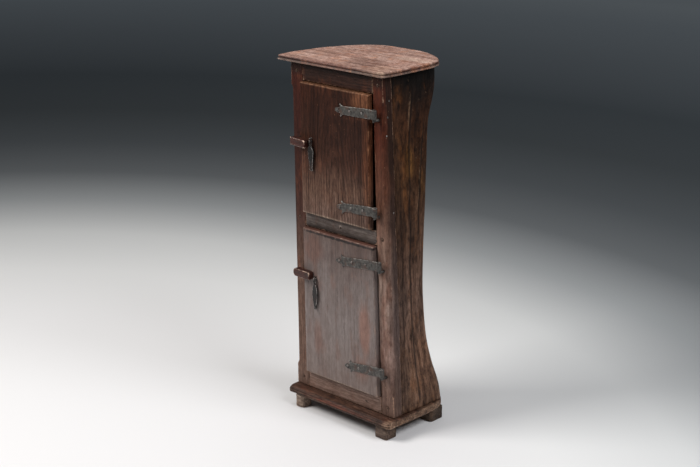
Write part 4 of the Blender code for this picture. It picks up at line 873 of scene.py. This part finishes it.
ironForm = dict(innerForm, voxel=0.0009, edgeScale=0.0006, wobble=0.00025, wobbleSize=0.008, ripple=0.00010,
                grainSize=(0.004, 0.004, 0.004), chip=0.0004, chipSize=0.006)
nailForm = dict(ironForm, voxel=0.0006, edgeScale=0.0004, wobble=0.00022, wobbleSize=0.003, ripple=0.0,
                chip=0.0002, chipSize=0.003)

# darker tone down the outer edge of the right stile, from low to high
edgeShades = ((0.16, (100, 80, 72)), (0.35, (94, 78, 74)), (0.53, (86, 70, 65)), (0.71, (60, 44, 38)),
              (0.89, (52, 36, 28)), (1.07, (54, 38, 31)))
rightEdge = {"low": 0.2195, "lean": 0.0402, "back": -0.106, "size": (0.03, 0.024, 0.13)}
edgeDarkening = [stainOrPaintedLight((rightEdge["low"] - rightEdge["lean"] * (z - trunkForm["boardTop"]), rightEdge["back"], z),
                    rightEdge["size"], shade, 0.92, 0.5) for z, shade in edgeShades]

rightStileLooks = {
    "heart": (0.05, 0.10, 0), "lean": (0.02, 0.01, 0), "ringScale": 30, "ringNoise": 3.0, "ringShare": 0.35,
    "heights": ((0.07, (134, 108, 96)), (0.16, (150, 123, 111)), (0.26, (180, 152, 142)), (0.42, (172, 150, 140)),
                (0.60, (154, 126, 112)), (0.75, (124, 84, 66)), (0.95, (96, 43, 24)), (1.13, (110, 54, 35))),
    "fibreShare": 0.45, "bandShare": 0.45, "lineShare": 0.3, "mottleShare": 0.6, "mottleDark": (122, 104, 96),
    "warm": (142, 84, 56), "blotch": (78, 50, 40), "blotchShare": 0.2, "dirtAndShade": (26, 18, 15),
    "rubbed": (178, 142, 118), "rubShare": 0.8, "rubFrom": 0.4, "bump": 0.45, "shine": 0.17,
    "patches": (
        stainOrPaintedLight((0.19, -0.115, 0.70), (0.014, 0.03, 0.05), (168, 130, 112), 0.4, 0.9),
        # painted shade under the top board
        stainOrPaintedLight((0.16, -0.135, 1.12), (0.08, 0.04, 0.03), (40, 26, 21), 0.7, 0.8),
        *edgeDarkening,
    ),
}
leftStileLooks = dict(rightStileLooks, heart=(-0.3, 0.12, 0), heights=(
    (0.07, (144, 118, 105)), (0.30, (138, 110, 96)), (0.50, (121, 95, 83)), (0.66, (82, 52, 43)),
    (0.85, (67, 34, 26)), (1.13, (77, 34, 22))), patches=(
        # painted shade under the top board
        stainOrPaintedLight((-0.18, -0.135, 1.12), (0.05, 0.04, 0.03), (40, 26, 21), 0.7, 0.8),
    ))
railLooks = dict(rightStileLooks, turn=lyingGrain, heart=(-0.5, 0.12, 0), heights=(
    (0.07, (151, 124, 112)), (0.13, (160, 136, 125)), (0.60, (112, 104, 100)), (0.66, (115, 107, 103)),
    (1.07, (60, 37, 29)), (1.12, (54, 33, 26))), warmShare=0.2, patches=(
        # painted shade under the top board
        stainOrPaintedLight((0.0, -0.135, 1.132), (0.3, 0.04, 0.018), (32, 22, 18), 0.7, 0.8),
        # painted sheen: a paler grey patch on the right of the middle rail
        stainOrPaintedLight((0.11, -0.135, 0.64), (0.06, 0.03, 0.03), (134, 127, 122), 0.5, 0.9),
        stainOrPaintedLight((0.0, -0.135, 0.618), (0.3, 0.04, 0.010), (44, 34, 29), 0.7, 0.6),
        # painted highlight: a pale spot where light catches the hole in the middle rail
        stainOrPaintedLight((0.002, -0.135, 0.6395), (0.0064, 0.02, 0.0064), (196, 184, 176), 0.9, 0.4),
    ))
upperDoorLooks = {
    "heart": (0.024, -0.21, 0), "lean": (math.radians(7), 0.03, 0), "ringScale": 34, "ringNoise": 3.4,
    "ringShare": 0.56, "bend": 0.016, "lateTint": (0.46, 0.38, 0.34), "lateFrom": 0.5,
    "heights": ((0.66, (139, 114, 103)), (0.75, (130, 101, 86)), (0.85, (84, 54, 41)), (1.00, (70, 36, 22)),
                (1.08, (73, 37, 20))),
    "fibreShare": 0.6, "bandDark": (128, 106, 96), "lineShare": 0.45, "mottleShare": 0.6,
    "mottleDark": (104, 90, 82), "warm": (126, 78, 56), "warmShare": 0.3,
    "blotch": (60, 35, 25), "dirtAndShade": (24, 16, 12),
    "rubbed": (166, 118, 86), "rubShare": 0.6, "rubFrom": 0.45, "rubTo": 1.05, "bump": 0.6, "shine": 0.15,
    "patches": (
        stainOrPaintedLight((0.115, -0.15, 1.045), (0.05, 0.05, 0.045), (166, 112, 80), 0.7, 1.2),
        stainOrPaintedLight((0.135, -0.15, 0.88), (0.024, 0.05, 0.17), (140, 86, 56), 0.45, 1.1),
        stainOrPaintedLight((-0.10, -0.15, 0.98), (0.07, 0.05, 0.13), (60, 36, 26), 0.3, 1.2),
        stainOrPaintedLight((0.0, -0.15, 0.6625), (0.24, 0.03, 0.0055), (188, 168, 150), 0.75, 0.7),
        stainOrPaintedLight((0.0, -0.15, 1.0745), (0.24, 0.03, 0.0045), (162, 118, 88), 0.6, 0.8),
    ),
}
lowerDoorLooks = {
    "heart": (0.10, 0.30, 0), "lean": (math.radians(3), 0.02, 0), "ringScale": 12, "ringNoise": 3.0,
    "ringShare": 0.25, "bend": 0.03, "lateTint": (0.66, 0.56, 0.52),
    "heights": ((0.12, (139, 124, 118)), (0.30, (141, 130, 127)), (0.45, (134, 123, 120)), (0.57, (115, 100, 95)),
                (0.61, (105, 86, 79))),
    "fibreShare": 0.3, "bandShare": 0.3, "lineShare": 0.16, "mottleShare": 0.4, "mottleDark": (150, 134, 128),
    "warm": (138, 98, 82), "warmShare": 0.35, "blotch": (98, 80, 75), "dirtAndShade": (32, 25, 22),
    "rubbed": (158, 134, 118), "rubShare": 0.6, "rubFrom": 0.4, "bump": 0.35,
    "patches": (
        stainOrPaintedLight((0.115, -0.15, 0.33), (0.026, 0.05, 0.10), (154, 104, 84), 0.6, 1.2),
        stainOrPaintedLight((0.10, -0.15, 0.20), (0.03, 0.05, 0.05), (142, 98, 80), 0.45, 1.3),
        stainOrPaintedLight((-0.09, -0.15, 0.26), (0.02, 0.05, 0.06), (142, 98, 82), 0.45, 1.3),
        stainOrPaintedLight((-0.11, -0.15, 0.55), (0.05, 0.05, 0.05), (120, 80, 66), 0.5, 1.3),
        stainOrPaintedLight((0.0, -0.148, 0.6105), (0.24, 0.05, 0.0045), (104, 62, 48), 0.8, 0.7),
        stainOrPaintedLight((0.02, -0.15, 0.6030), (0.22, 0.05, 0.0042), (30, 18, 15), 0.95, 2.2, 75, (1, 1, 0.4)),
        stainOrPaintedLight((0.0, -0.15, 0.1245), (0.24, 0.03, 0.0050), (170, 150, 134), 0.7, 0.8),
    ),
}
footLooks = {
    "turn": lyingGrain, "heart": (-0.02, 0.0, 0), "ringScale": 60, "ringNoise": 4.0, "ringShare": 0.3,
    "heights": ((0.0, (104, 88, 74)), (0.045, (126, 108, 92))), "stir": 0.0,
    "blotch": (74, 58, 48), "dirtAndShade": (34, 27, 23), "rubbed": (168, 146, 122), "rubShare": 0.8,
    "bump": 0.8, "shine": 0.2, "patches": (
        stainOrPaintedLight((-0.17, -0.15, 0.02), (0.06, 0.06, 0.06), (190, 170, 154), 0.85, 0.8),
        stainOrPaintedLight((0.20, -0.16, 0.02), (0.05, 0.03, 0.05), (128, 110, 100), 0.6, 0.8),
        # painted shade: the rear right foot, which stands in the cupboard's shadow, darkened
        stainOrPaintedLight((0.21, 0.12, 0.02), (0.05, 0.08, 0.05), (58, 45, 40), 0.85, 0.8),
    ),
}
innerLooks = {
    "turn": lyingGrain, "heart": (0.0, 0.2, 0), "ringScale": 30, "ringShare": 0.4,
    "heights": ((0.0, (144, 116, 92)), (1.0, (144, 116, 92))), "fibreShare": 0.6, "bandShare": 0.5,
    "blotch": (104, 80, 62), "dirtAndShade": (44, 34, 28), "rubbed": (168, 140, 112), "bump": 0.4,
}
latchLooks = {
    "turn": lyingGrain, "heart": (0.2, -0.1, 0), "ringScale": 60, "ringShare": 0.4,
    "heights": ((0.0, (88, 46, 36)), (1.15, (80, 38, 28))), "stir": 0.0, "fibreShare": 0.8, "bandShare": 0.8,
    "mottleShare": 0.6, "blotch": (66, 36, 28), "blotchShare": 0.6, "blotchScale": 40, "dirtAndShade": (30, 18, 15),
    "rubbed": (224, 190, 168), "rubShare": 0.95, "rubFrom": 0.26, "rubTo": 0.70, "bump": 0.4, "roughHigh": 0.5,
    "roughLow": 0.34, "shine": 0.45,
}
pegLooks = dict(latchLooks, heart=(0.3, 0.1, 0), heights=((0.0, (150, 122, 102)), (1.15, (146, 114, 92))),
                blotch=(90, 66, 52), turn=(math.radians(90), 0, 0))
railPegLooks = dict(pegLooks, heights=((0.07, (108, 84, 72)), (0.60, (96, 72, 60)), (1.12, (62, 36, 26))),
                    rubShare=0.12, nickShare=0.1, shine=0.17)

rightStileWood = agedWood("right_stile_wood", rightStileLooks)
leftStileWood = agedWood("left_stile_wood", leftStileLooks)
railWood = agedWood("rail_wood", railLooks)
upperDoorWood = agedWood("upper_door_wood_grain", upperDoorLooks)
lowerDoorWood = agedWood("lower_door_wood_grain", lowerDoorLooks)
footWood = agedWood("foot_wood_grain", footLooks)
innerWood = agedWood("inside_wood_grain", innerLooks)
latchWood = agedWood("latch_wood_grain", latchLooks)
pegWood = agedWood("peg_wood_grain", pegLooks)
railPegWood = agedWood("rail_peg_wood_grain", railPegLooks)
print("wood finishes made")

# the last number is a piece's own seed
wornPiece("left_stile", leftStileWood, "frame_wood", frameForm, 61)
wornPiece("right_stile", rightStileWood, "frame_wood", frameForm, 66)
for count, node in enumerate(("bottom_rail", "middle_rail", "top_rail")):
    wornPiece(node, railWood, "frame_wood", railForm, 71 + 5 * count)
wornPiece("upper_door", upperDoorWood, "upper_door_wood", doorForm, 91)
wornPiece("lower_door", lowerDoorWood, "lower_door_wood", doorForm, 96)
for count, node in enumerate(("foot_front_right", "foot_front_left", "foot_rear_right", "foot_rear_left")):
    wornPiece(node, footWood, "foot_wood", footForm, 101 + 5 * count)
for count, node in enumerate(("divider_shelf", "shelf_ledge_right", "shelf_ledge_left")):
    wornPiece(node, innerWood, "inner_wood", innerForm, 121 + 5 * count)
print("frame, doors and feet made")

for count, door in enumerate(("upper", "lower")):
    wornPiece(door + "_latch_grip", latchWood, "latch_wood", smallForm, 141 + 5 * count)
    wornPiece(door + "_latch_tongue", latchWood, "latch_wood", smallForm, 151 + 5 * count)
    wornPiece(door + "_latch_rest_peg", pegWood, "peg_wood", smallForm, 161 + 5 * count)
    wornPiece(door + "_pull", pullIron, "iron", nailForm, 171 + 5 * count)
    wornPiece(door + "_pull_staple", pullIron, "iron", nailForm, 181 + 5 * count)
    for end in ("top", "bottom"):
        start = 201 + 40 * count + (20 if end == "top" else 0)
        wornPiece(f"{door}_door_{end}_strap", iron, "iron", ironForm, start)
        wornPiece(f"{door}_door_{end}_pintle", iron, "iron", ironForm, start + 4)
        for number in (1, 2, 3):
            wornPiece(f"{door}_door_{end}_nail_{number}", nailIron, "iron", nailForm, start + 5 + 2 * number)
    frame["nodes"][door + "_latch_spindle"].material_slots[0].material = pegWood
for number in (1, 2, 3, 4):
    wornPiece(f"stile_nail_{number}", nailIron, "iron", nailForm, 301 + 3 * number)
for rail in ("bottom", "middle", "top"):
    for side in ("left", "right"):
        wornPiece(f"{rail}_rail_{side}_peg", railPegWood, "peg_wood", smallForm, 331 + len(rail) + len(side))
print("ironwork, latches and pegs made")
